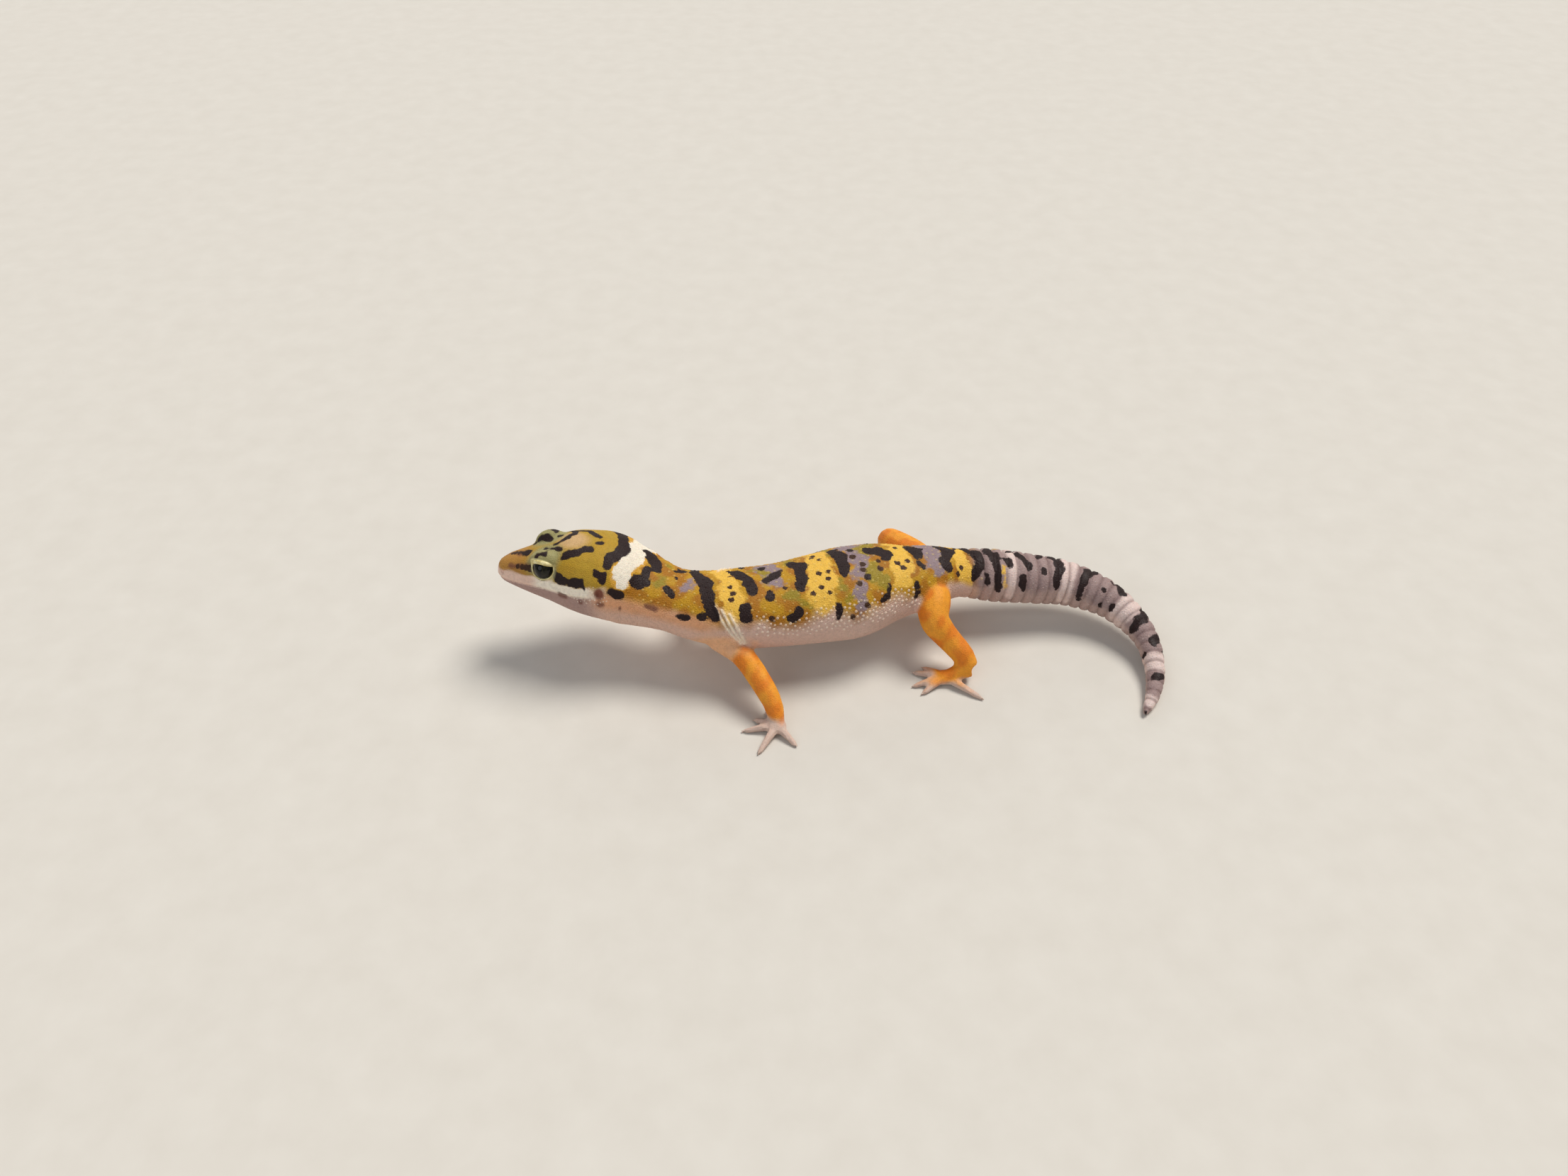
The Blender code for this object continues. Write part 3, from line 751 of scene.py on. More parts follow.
darkMarks = {
    "snoutBar": [(4.3, 1, 0.26), (4.9, 5, 0.5), (5.5, 8, 0.56)],
    "overEye": [(7.9, 26, 0.4), (9.0, 24, 0.42)],
    "browStreak": [(8.5, 8, 0.2), (9.8, 11, 0.14), (11.4, 14, 0.24)],
    "browSpot": [(8.8, -12, 0.46), (7.4, -16, 0.28), (5.9, -20, 0.12)],
    "farBrow": [(8.6, -25, 0.28), (9.5, -29, 0.28)],
    "crownDash": [(10.2, -15, 0.22), (10.8, -13, 0.22)],
    "crownArch": [(9.9, 6, 0.12), (11.0, 0, 0.34), (12.1, -8, 0.42), (13.2, -19, 0.3)],
    "crownTop": [(13.6, -26, 0.45), (14.8, -27, 0.4), (16.0, -20, 0.36), (16.9, -13, 0.36)],
    "crownDot": [(16.8, 0, 0.46), (17.2, -1, 0.42)],
    "crownBar": [(11.9, 28, 0.5), (13.0, 22, 0.62), (14.1, 19, 0.5), (15.0, 15, 0.58), (16.1, 11, 0.42)],
    "cheekStripe": [(10.4, 47, 0.5), (11.5, 55, 0.68), (13.2, 59, 0.66), (15.2, 57, 0.7), (16.1, 64, 0.36)],
    "cheekSpot": [(17.6, 43, 0.5), (18.9, 43, 0.6), (18.8, 49, 0.6)],
    "napeBar": [
        (18.6, -46, 0.8), (19.7, -30, 0.95), (20.7, -10, 0.95), (20.2, 8, 0.8), (19.2, 20, 0.95),
        (18.9, 31, 0.7),
    ],
    "neckBlob": [(24.0, -38, 0.95), (25.5, -18, 1.1), (26.2, -8, 0.6), (24.9, 3, 0.55), (24.9, 18, 0.6)],
    "neckBlobLow": [(24.5, 28, 0.75), (24.1, 40, 0.95), (25.4, 33, 0.85)],
    "throatSide": [(20.4, 62, 0.42), (21.1, 63, 0.66), (22.3, 64, 0.66), (22.9, 64, 0.45)],
    "witherSpot": [(29.4, -40, 0.42), (30.0, -32, 0.32)],
    "witherDot": [(29.9, -6, 0.44)],
    "shoulderBar": [(28.9, 28, 0.6), (30.3, 37, 0.68)],
    "shoulderLow": [(32.3, 72, 0.5), (33.5, 69, 0.46)],
    "firstBar": [
        (32.4, -40, 0.9), (33.9, -22, 1.1), (35.2, -2, 1.35), (35.2, 14, 1.0), (35.9, 28, 1.15),
        (36.4, 46, 0.9), (37.1, 62, 0.9),
    ],
    "firstLow": [(35.0, 66, 0.5), (35.6, 63, 0.45)],
    "secondBar": [
        (39.8, -32, 0.85), (41.1, -22, 1.1), (42.3, -6, 1.25), (42.9, 10, 1.05), (43.0, 20, 0.95),
    ],
    "secondLow": [(41.6, 46, 0.78), (41.5, 62, 0.9)],
    "backSpot": [(45.6, 1, 0.7), (47.7, -12, 0.85)],
    "flankSpot": [(45.6, 33, 0.9)],
    "thirdBar": [(51.0, -30, 1.0), (52.2, -18, 1.35), (51.8, -4, 1.0), (51.9, 8, 1.0), (51.0, 26, 0.9)],
    "thirdLow": [(48.7, 66, 0.8), (49.6, 61, 0.86)],
    "fourthBar": [(58.9, -38, 0.95), (59.6, -20, 1.3), (59.4, -8, 1.0), (59.2, 8, 0.95), (58.9, 20, 0.75)],
    "fourthLow": [(56.3, 60, 0.6), (56.0, 74, 0.5)],
    "loinDashD": [(62.2, 33, 0.62)],
    "fifthBar": [(64.6, -22, 1.0), (66.2, -16, 1.25), (67.1, -6, 1.2), (66.9, 2, 0.85)],
    "fifthLow": [(65.6, 52, 0.5), (64.9, 62, 0.56), (63.5, 66, 0.42)],
    "sixthBar": [(71.8, -28, 1.0), (72.5, -14, 1.3), (72.6, 0, 0.95)],
    "hipSpots": [(71.9, 17, 0.36), (72.6, 31, 0.4)],
    "groinBar": [(70.9, 53, 0.4), (70.7, 74, 0.36)],
    "seventhBar": [(77.0, -30, 1.1), (78.1, -14, 1.25), (77.3, 6, 0.9), (76.5, 20, 0.9), (76.9, 40, 0.7)],
    "eighthBar": [(81.6, -28, 0.9), (82.7, -8, 1.15), (83.5, 14, 0.95), (83.2, 36, 0.95), (82.1, 62, 0.55)],
    "tailBarA": [(85.4, -22, 0.9), (86.1, -2, 1.15), (86.2, 12, 0.9), (86.6, 44, 0.55), (87.1, 82, 0.5)],
    "tailSpotA": [(84.7, 50, 0.5), (84.8, 66, 0.5)],
    "tailSpotB": [(88.7, 10, 0.75), (88.9, 24, 0.6)],
    "tailBarB": [(90.2, -24, 0.6), (91.3, -4, 0.66), (92.2, 16, 0.72), (92.4, 30, 0.44)],
    "tailSpotC": [(91.3, 50, 0.6), (91.4, 62, 0.8), (91.7, 74, 0.6)],
    "tailSpotD": [(93.9, -28, 0.5), (94.6, -20, 0.55)],
    "tailSpotE": [(95.0, 22, 0.44), (95.1, 32, 0.5)],
    "tailBarC": [(97.4, -28, 0.95), (97.9, -8, 0.9), (98.0, 14, 1.0), (97.5, 40, 0.8), (97.3, 64, 0.65)],
    "tailBarD": [
        (104.2, -30, 0.75), (103.4, -10, 0.95), (103.0, 14, 0.85), (102.7, 45, 0.6), (102.9, 80, 0.5),
    ],
    "tailSpotF": [(107.1, 26, 0.46)],
    "tailSpotG": [(107.7, 72, 0.46), (107.9, 82, 0.4)],
    "tailSpotH": [(110.1, 50, 0.48), (110.2, 66, 0.5)],
    "tailSpotI": [(108.8, -34, 0.95), (109.6, -12, 0.95)],
    "tailBarE": [
        (113.8, -62, 0.8), (114.6, -36, 0.9), (115.5, -12, 1.0), (115.2, 20, 0.75), (115.9, 50, 0.8),
        (115.9, 84, 0.5),
    ],
    "tailSpotJ": [(119.3, -38, 0.85), (119.8, -8, 0.95)],
    "tailSpotK": [(121.8, 60, 0.5), (122.0, 76, 0.5)],
    "tailBarF": [(126.4, -46, 0.6), (126.7, -4, 0.8), (126.9, 24, 0.6)],
    "tailEnd": [(134.2, -30, 0.6), (134.4, 40, 0.6)],
}
spotMarks = {  # small round spots, browner, in and beside the yellow bands
    "first": [(39.2, 8, 0.38), (39.8, 23, 0.36), (39.5, 35, 0.38)],
    "second": [
        (54.7, 7, 0.4), (56.4, 8, 0.4), (55.9, 21, 0.36), (54.3, 33, 0.38), (52.6, 40, 0.4),
        (55.4, 43, 0.34),
    ],
    "third": [(68.6, 15, 0.42), (70.4, 12, 0.36), (69.4, 27, 0.42)],
    "fourth": [(79.6, 37, 0.38), (78.6, 51, 0.36), (79.6, -24, 0.36)],
    "loin": [
        (61.5, -12, 0.5), (62.4, 8, 0.46), (62.0, 19, 0.42), (65.0, 23, 0.5), (60.5, 39, 0.38),
        (65.3, 8, 0.36),
    ],
    "flank": [(45.4, 64, 0.4), (58.3, 76, 0.32), (60.8, 66, 0.36), (48.4, 22, 0.3)],
    "snout": [(4.0, 40, 0.24), (4.8, 41, 0.32), (5.6, 42, 0.36), (6.2, 43, 0.42), (6.8, 43, 0.44)],
    "snoutTop": [(2.5, -12, 0.16), (3.1, -8, 0.26), (3.8, -3, 0.28)],
}
smudgeMarks = {  # soft brownish ones on the jaw and throat
    "a": [(11.7, 80, 0.5), (12.6, 81, 0.4)],
    "b": [(15.3, 83, 0.45)],
    "c": [(18.9, 79, 0.5), (19.5, 79, 0.45)],
    "d": [(22.9, 81, 0.42)],
    "e": [(26.9, 69, 0.45), (28.2, 70, 0.5)],
    "snoutStripe": [(2.4, 36, 0.22), (4.2, 40, 0.4), (7.2, 42, 0.46)],
    "snoutSide": [(1.9, -18, 0.26), (3.2, -6, 0.36), (4.2, 3, 0.3)],
}
creamMarks = {
    "collar": [(22.4, -70, 1.1), (22.7, -48, 1.5), (22.2, 2, 1.5), (21.9, 24, 1.4), (21.7, 41, 1.6)],
}
paleBands = [  # whitish ones of the tail: along on the right and on the left, and half width
    (89.4, 89.2, 1.1),
    (99.9, 99.6, 1.5),
    (112.2, 112.4, 1.9),
    (123.6, 123.8, 1.7),
    (131.6, 131.6, 1.2),
]
paleMarks = {n: [(right, -60, wide), (left, 90, wide)] for n, (right, left, wide) in enumerate(paleBands)}
yellowMarks = {
    "first": [(37.6, -46, 1.7), (38.6, -10, 1.4), (39.2, 14, 1.7), (39.8, 40, 1.5), (39.6, 62, 1.1)],
    "second": [(55.9, -46, 1.7), (55.2, -10, 2.1), (55.0, 12, 2.3), (54.4, 32, 2.5), (53.8, 56, 1.7)],
    "third": [(69.6, -26, 1.5), (69.4, 2, 1.7), (69.2, 26, 1.9), (68.6, 48, 1.4)],
    "fourth": [(79.9, -34, 1.2), (80.0, 14, 1.4), (80.3, 50, 1.6), (80.6, 80, 1.1)],
    "tailFringe": [(87.7, 30, 0.1), (88.1, 76, 0.1)],
}
lilacMarks = {  # greyish stretches of the back
    "first": [(46.3, -34, 2.3), (47.0, -8, 1.5), (47.2, 12, 0.8)],
    "second": [(62.6, -36, 2.6), (62.0, 4, 1.6), (60.7, 32, 0.8), (60.2, 66, 0.9)],
    "third": [(75.2, -36, 2.0), (74.8, 24, 1.5), (75.0, 36, 0.8)],
    "shoulder": [(32.6, 0, 0.8), (32.2, 16, 0.7)],
}
oliveMarks = {
    "first": [(44.6, -30, 0.9), (45.6, -16, 0.7)],
    "second": [(62.9, 12, 0.5), (63.6, 26, 1.7), (64.6, 42, 1.3)],
    "third": [(49.4, 34, 0.8), (50.6, 50, 0.8)],
    "fourth": [(57.6, 34, 0.7), (58.2, 52, 0.6)],
    "nape": [(27.6, 8, 0.9), (27.4, 30, 0.7)],
}

markKinds = {  # and how ragged their edges are, in mm
    "dark": (darkMarks, 0.11),
    "spot": (spotMarks, 0.03),
    "smudge": (smudgeMarks, 0.08),
    "cream": (creamMarks, 0.2),
    "pale": (paleMarks, 0.15),
    "yellow": (yellowMarks, 0.25),
    "lilac": (lilacMarks, 0.4),
    "olive": (oliveMarks, 0.35),
}
markSet = {"sideFrom": 20, "seed": 5, "slip": 0.7, "size": (0.8, 1.1), "turn": 4}


def bothSides(strokes, rng):  # what lies on the left flank comes again, a little otherwise, on the right
    made = []
    for stroke in strokes:
        made.append(stroke)
        start = stroke[0]
        side = [row for row in stroke if row[1] > max(markSet["sideFrom"], 8 - start[1])]
        if not side:
            continue
        slip, size = rng.uniform(-1, 1) * markSet["slip"], rng.uniform(*markSet["size"])
        turn = rng.uniform(-markSet["turn"], markSet["turn"])
        onBack = start[1] < 0
        if onBack:
            slip += start[0] - side[0][0]
        right = [(along + slip, turn - around, wide * size) for along, around, wide in side]
        made.append([start, *right] if onBack else right)
    return made


def markFields(points, along, around, radius):  # depth of each point inside each kind of marking, in mm
    rng = np.random.default_rng(markSet["seed"])
    made = {}
    for n, (name, (marks, uneven)) in enumerate(markKinds.items()):
        strokes = list(marks.values())
        if name == "spot":
            strokes = [[spot] for rows in strokes for spot in rows]
        depth = strokeDepth(along, around, radius, bothSides(strokes, rng))
        frayed = ripple(points, 2.2, 10 + n) + 0.6 * ripple(points, 0.9, 30 + n)
        made[name] = depth + uneven * frayed
    return made


# An unwrap of the skin: a strip for the body, one for each leg and one for each toe

bodyStrip = (0.002, 0.002, 0.996, 0.48)  # left, bottom, width, height
legStrip = (0.002, 0.51, 0.7, 0.11)
toeStrip = (0.72, 0.51, 0.27, 0.018)
stripStep = {"leg": 0.122, "toe": 0.024}


def turnsRound(points, line):  # turns round a line, from a direction carried along it
    line = np.array(line, float)
    where = nearLine(points, line)[1]
    turns = np.zeros(len(points))
    across = np.array([1.0, 0.2, 0.1])
    for n, (a, b) in enumerate(zip(line[:, :3], line[1:, :3])):
        ahead = (b - a) / np.linalg.norm(b - a)
        across = across - ahead * (across @ ahead)
        across /= np.linalg.norm(across)
        out = points - a
        angle = np.arctan2(out @ np.cross(ahead, across), out @ across)
        turns = np.where(where >= n, angle / math.tau, turns)
    return where / (len(line) - 1), turns


def writeRoots(skin, points, onLeg):  # each corner's place on the unwrap, for the scales that root there
    strips = [(None, bodyStrip)]
    for n, leg in enumerate(legs.values()):
        left, bottom, width, height = legStrip
        strips.append((leg["line"], (left, bottom + n * stripStep["leg"], width, height)))
        left, bottom, width, height = toeStrip
        for m, line in enumerate(toeLines(leg)):
            up = n * stripStep["leg"] + m * stripStep["toe"]
            strips.append((line, (left, bottom + up, width, height)))
    offBody = np.where(onLeg, 1e9, 0)
    nearest = np.argmin([offBody, *[nearLine(points, strip[0])[0] for strip in strips[1:]]], axis=0)
    corners = np.zeros(len(skin.data.loops), int)
    skin.data.loops.foreach_get("vertex_index", corners)
    chosen = np.repeat(nearest[corners[::3]], 3)
    roots = np.zeros((len(corners), 3))
    for n, (line, (left, bottom, width, height)) in enumerate(strips):
        here = np.nonzero(chosen == n)[0]
        if not len(here):
            continue
        if line:
            share, turns = turnsRound(points[corners[here]], line)
        else:
            along, around = bodyCoords(points[corners[here]])[:2]
            share, turns = along / bodyLength, around / 360
        turns = turns.reshape(-1, 3)
        torn = turns.max(1) - turns.min(1) > 0.5
        turns[torn] += turns[torn] < 0  # a face over the seam keeps its three corners together
        roots[here, 0] = left + width * np.clip(share, 0, 1)
        roots[here, 1] = bottom + height * (turns.ravel() + 0.5)
    writeField(skin, "root", roots, "CORNER")


# Fields of colour. Each is a product of fades, which have a measure, where it starts and is full,
# and how far the patches shift it

zones = {
    "leg": [("offBody", -0.3, 1.0), ("along", 24, 27), ("along", 90, 85)],
    "foot": [("overFoot", 1.8, 0.6, 0.25)],
    "belly": [("waved", 63, 83, -3)],
    "tail": [("along", 81.5, 84, 0.3)],
    "head": [("neck", 22.5, 19.5)],
    "throat": [("side", 58, 76), ("along", 15, 19), ("along", 40, 35)],
    "snout": [("back", 8.0, 4.5, 0.3)],
    "jaw": [("rise", 0.1, -0.35), ("back", 20, 15)],
    "lip": [("rise", -0.3, 0.0), ("overLip", 2.0, 1.5, 0.12), ("back", 19.5, 16.5, 0.5)],
    "lipWhite": [("back", 5.5, 8.5, 0.4)],
    "crown": [("fromCrown", 2.4, 0.9)],
    "brow": [("fromBrow", 4.0, 2.2), ("up", 1.6, 3.0)],
    "ear": [("fromEar", 1.05, 0.6), ("out", 5, 6)],
}
crownAt = {"along": 12.9, "around": -2, "narrow": 0.7}
browAt = {"back": 9.2, "out": 2.6, "narrow": 1.2}
earAt = {"back": 18.6, "up": 1.1, "low": 0.85}
shoulder = {"leg": (2.5, 1.5), "off": (2.2, 0.6), "side": (70, 95)}  # in points of the leg, mm and degrees
lidBand = {"least": 0.06, "top": 0.64, "fade": 0.18, "bare": 0.42}  # its width, and how much more is bare


def measuresOf(points, along, around, radius, clear):
    back, across, up = headCoords(points)
    rise, side = mouthRise(back, up), np.abs(around)
    onCrown = np.radians(around - crownAt["around"]) * radius
    brows = [(across - browAt["out"] * eye) * browAt["narrow"] for eye in eyePlaces]
    return {
        "along": along,
        "neck": along + 0.02 * side,
        "side": side,
        "waved": side - 5 * np.sin(along * 0.55),
        "back": back,
        "up": up,
        "out": np.abs(across),
        "rise": rise,
        "overLip": rise + 0.15 * ease(back, 6, 10),
        "overFoot": points[:, 2] - floorUnder - 1.3 * (along < 50),
        "offBody": clear - legGap(points),
        "fromCrown": np.hypot((along - crownAt["along"]) * crownAt["narrow"], onCrown),
        "fromBrow": np.minimum(*[np.hypot(back - browAt["back"], brow) for brow in brows]),
        "fromEar": np.hypot(back - earAt["back"], (up - earAt["up"]) * earAt["low"]),
    }


def lidFields(points):  # the pale lid, and the wider strip that stays free of scales
    lid, bare = np.zeros(len(points)), np.zeros(len(points))
    for side, place in eyePlaces.items():
        out = points - fromEyes(place)
        far = np.linalg.norm(out, axis=1)
        off, turn = eyeTurn(out / far[:, None], side)
        beyond = np.radians(off - openingReach(turn)) * far
        wide = lidBand["least"] + lidBand["top"] * ease(np.sin(turn), 0.1, 0.8)
        near = ease(eyeRadius + 1.0 - far, 0, 0.2)
        lid = np.maximum(lid, near * (1 - ease(beyond, wide, wide + lidBand["fade"])))
        bare = np.maximum(bare, near * (beyond < wide + lidBand["bare"]))
    return {"lid": lid, "bare": bare}


def shoulderField(points, onLeg, side, patchy):
    made = np.zeros(len(points))
    for name in ("front_left", "front_right"):
        gap, where = nearLine(points, legs[name]["line"])
        here = ease(where + 0.15 * patchy, *shoulder["leg"]) * ease(gap, *shoulder["off"])
        made = np.maximum(made, here * np.maximum(onLeg, ease(side, *shoulder["side"])))
    return made


def paintFields(skin):
    points = readPoints(skin)
    along, around, radius, clear = bodyCoords(points)
    patchy = ripple(points, 3.0, 51)
    measures = measuresOf(points, along, around, radius, clear)
    side = measures["side"]
    fields = markFields(points, along, around, radius) | lidFields(points)
    fields["blotch"] = 0.5 + 0.2 * patchy
    for name, rows in zones.items():
        fields[name] = np.ones(len(points))
        for measure, start, end, *shift in rows:
            fields[name] *= ease(measures[measure] + sum(shift) * patchy, start, end)
    fields["foot"] *= fields["leg"]
    fields["belly"] *= 1 - 0.65 * fields["tail"]
    fields["throat"] *= 1 - 0.8 * ease(side, 76, 96)
    fields["lipWhite"] *= fields["lip"]
    fields["shoulder"] = shoulderField(points, fields["leg"], side, patchy)
    fields["fold"] = hump(foldGap(along, around, radius), 0.22) * (1 - ease(clear, 0.8, 1.6))
    # painted shade: the grooves between the tail's rings are darkened in colour
    fields["ring"] = hump(ringGap(along), 0.26) * fields["tail"]
    for name, values in fields.items():
        writeField(skin, name, values)
    writeRoots(skin, points, fields["leg"] > 0.5)
    writeField(skin, "lie", onSpine(spineAhead, along))
    return fields, points, along, around


# Colours

groundColours = {
    "mustard": srgb(188, 140, 24),
    "ochre": srgb(168, 110, 20),
    "head": srgb(178, 144, 44),
    "leg": srgb(240, 158, 46),
    "legDeep": srgb(228, 130, 34),
}
skinLayers = [  # field, colour, and, for a depth, where it starts and is full. Each covers those before it
    ("lilac", (146, 126, 130), -0.7, 0.3),
    ("olive", (152, 130, 34), -0.6, 0.4),
    ("head", None),
    ("crown", (204, 166, 116)),
    ("snout", (178, 128, 58)),
    ("brow", (158, 150, 100)),
    ("tail", (158, 134, 130)),
    ("pale", (224, 200, 192), -0.4, 0.5),
    # painted shade in the grooves between the tail's rings
    ("ring", (112, 88, 86)),
    ("yellow", (233, 184, 72), -0.35, 0.3),
    ("belly", (218, 184, 168)),
    ("throat", (230, 168, 124)),
    ("jaw", (174, 142, 132)),
    ("lip", (240, 204, 184)),
    ("lipWhite", (255, 241, 220)),
    ("leg", None),
    ("shoulder", (236, 180, 136)),
    ("foot", (212, 184, 168)),
    ("cream", (214, 160, 56), -0.5, -0.25),
    ("cream", (244, 232, 212), -0.1, 0.15),
    ("fold", (252, 234, 208)),
    ("smudge", (112, 64, 52), -0.3, 0.35),
    ("ear", (138, 84, 66)),
    ("spot", (62, 36, 16), -0.2, -0.05),
    ("dark", (34, 17, 16), -0.12, 0.08),
    ("lid", (238, 226, 168)),
]
# the painted shade in the tail's ring grooves covers at most 0.6
layerShare = {"ring": 0.6, "smudge": 0.8}
grime = {"colour": srgb(66, 42, 32), "share": 0.14, "size": 0.5}


def skinColour(tree):  # the same for skin and scales, and how much each layer covers
    ground = groundColours
    blotch = tree.field("blotch")
    patchwork = {
        "head": tree.mix(blotch * 0.5, ground["head"], ground["mustard"]),
        "leg": tree.mix(tree.step(blotch, 0.4, 0.8), ground["leg"], ground["legDeep"]),
    }
    colour = tree.mix(tree.step(blotch, 0.35, 0.65), ground["mustard"], ground["ochre"])
    cover = {}
    for field, paint, *depth in skinLayers:
        there = tree.field(field)
        if depth:
            there = tree.step(there, *depth)
        if field in layerShare:
            there = there * layerShare[field]
        cover[field] = there
        colour = tree.mix(there, colour, srgb(*paint) if paint else patchwork[field])
    shade = tree.step(tree.noise(grime["size"]), 0.35, 0.75)
    return tree.mix(shade * grime["share"], colour, grime["colour"]), cover


def skinMaterial(name, pale=0.0, high=None):  # pale lightens the tops of raised scales, to the colour high
    def finish(tree):
        colour, cover = skinColour(tree)
        if pale:
            colour = tree.mix((1 - cover["dark"]) * (1 - cover["spot"]) * pale, colour, high)
        return {
            "Base Color": colour,
            "Roughness": tree.step(tree.noise(1.5), 0.2, 0.8) * 0.14 + 0.5,
            "Normal": tree.granules(0.22),
            "Specular IOR Level": 0.24,
            "Subsurface Weight": 0.1,
            "Subsurface Radius": (1.0, 0.45, 0.25),
            "Subsurface Scale": 0.4 * mm,
        }

    return newMaterial(name, finish)


# Scales over the skin

scaleSet = {
    "patch": 0.003,  # of one scale on the unwrap
    "sink": 0.04,  # how far a scale's foot goes into the skin
    "tipLean": 0.2,
    "dense": 5,  # tries for each scale that fits
}
domeSteps = {  # for its count of sides: rise and narrowing of each step, and rise of the tip
    6: ([(0.8, 0.68)], 0.2),
    8: ([(0.55, 0.86), (0.33, 0.6)], 0.12),
}
grains = {  # spacing, shape, smallest and largest size
    "head_scales": (0.265, "small", (0.85, 1.15)),
    "trunk_scales": (0.33, "grain", (0.85, 1.15)),
    "hip_scales": (0.33, "grain", (0.85, 1.15)),
    "tail_scales": (0.34, "low", (0.75, 1.1)),
    "leg_scales": (0.28, "small", (0.8, 1.1)),
    "foot_scales": (0.24, "tiny", (0.8, 1.1)),
    "back_tubercles": (1.0, "backWart", (0.7, 1.1)),
    "flank_tubercles": (0.68, "flankWart", (0.75, 1.1)),
    "cheek_tubercles": (0.5, "cheekWart", (0.7, 1.05)),
    "tail_tubercles": (1.0, "tailWart", (0.7, 1.0)),
}
shapes = {  # radius, height, sides, lean back, and how much paler with which colour
    "grain": (0.2, 0.08, 6, 0.1),
    "small": (0.165, 0.07, 6, 0.1),
    "low": (0.21, 0.06, 6, 0.2),
    "tiny": (0.14, 0.045, 6, 0.1),
    "backWart": (0.26, 0.14, 8, 0.3, 0.24, srgb(244, 214, 130)),
    "flankWart": (0.25, 0.17, 8, 0.3, 0.5, srgb(246, 228, 208)),
    "cheekWart": (0.18, 0.1, 8, 0.2, 0.5, srgb(246, 228, 208)),
    "tailWart": (0.24, 0.11, 8, 0.4, 0.1, srgb(240, 222, 210)),
}
scaleParts = {"head": (-10, 23), "trunk": (23, 57), "hips": (57, 83), "tail": (83, 150)}  # along the body
cheekPatch = {"back": 17.0, "up": 0.9, "long": 3.4, "high": 1.7}


def scaleTemplate(name, radius, height, sides, lean, material):  # a dome, modelled once
    onlySelect()
    bpy.ops.mesh.primitive_circle_add(vertices=sides, radius=radius * mm, fill_type="NOTHING")
    dome = bpy.context.object
    dome.name = dome.data.name = name
    openEdit(dome)
    bpy.ops.transform.translate(value=(0, 0, -scaleSet["sink"] * mm))
    steps, tip = domeSteps[sides]
    for rise, share in steps:
        extrude(lean * radius * rise * mm, 0, rise * height * mm)
        bpy.ops.transform.resize(value=(share, share, 1))
    extrude(lean * radius * scaleSet["tipLean"] * mm, 0, tip * height * mm)
    bpy.ops.mesh.merge(type="CENTER")
    closeEdit()
    settle(dome)
    dress(dome, material)
    patch = readVectors(dome.data.vertices, "co") / (2 * radius * mm) * scaleSet["patch"]
    patch[:, 2] = 0
    writeField(dome, "patch", patch)
    return dome


def strewNodes(name, spacing, template, sizes, seed):
    group = bpy.data.node_groups.new(f"{name}Strew", "GeometryNodeTree")
    for way in ("INPUT", "OUTPUT"):
        group.interface.new_socket("Geometry", in_out=way, socket_type="NodeSocketGeometry")
    tree = Tree(group)
    sockets = {
        "Mesh": tree.node("NodeGroupInput"),
        "Distance Min": spacing * mm,
        "Density Max": scaleSet["dense"] / (spacing * mm) ** 2,
        "Density Factor": tree.named(name, "FLOAT"),
        "Seed": seed,
    }
    strewn = tree.node("GeometryNodeDistributePointsOnFaces", sockets, distribute_method="POISSON")
    normal = Wire(tree, strewn.socket.node.outputs["Normal"])
    upright = tree.node("FunctionNodeAlignRotationToVector", {"Vector": normal}, axis="Z")
    turned = {"Rotation": upright, "Vector": tree.named("lie")}
    sockets = {
        "Points": strewn,
        "Instance": tree.node("GeometryNodeObjectInfo", {"Object": template}, out="Geometry"),
        "Rotation": tree.node("FunctionNodeAlignRotationToVector", turned, axis="X", pivot_axis="Z"),
        "Scale": tree.node("FunctionNodeRandomValue", {2: sizes[0], 3: sizes[1], "Seed": seed}, out=1),
    }
    placed = tree.node("GeometryNodeInstanceOnPoints", sockets)
    real = tree.node("GeometryNodeRealizeInstances", {"Geometry": placed})
    place = {0: tree.named("root"), 1: tree.named("patch")}
    place = tree.node("ShaderNodeVectorMath", place, operation="ADD")
    sockets = {"Geometry": real, "Name": "OFBake", "Value": place}
    stored = tree.node("GeometryNodeStoreNamedAttribute", sockets, data_type="FLOAT2", domain="CORNER")
    tree.node("NodeGroupOutput", {"Geometry": stored})
    return group


def strew(skin, name, *settings):  # scales of one kind over the skin, where their field is over half
    piece = newObject(name, skin.data.copy())
    piece.data.materials.clear()
    modify(piece, "NODES", node_group=strewNodes(name, *settings))
    applyAll(piece)
    attributes = piece.data.attributes
    for extra in ("root", "patch", "lie", "UVMap"):
        if extra in attributes:
            attributes.remove(attributes[extra])
    piece.data.name = name
    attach(piece, "root")
    print(name, len(piece.data.polygons), "faces")


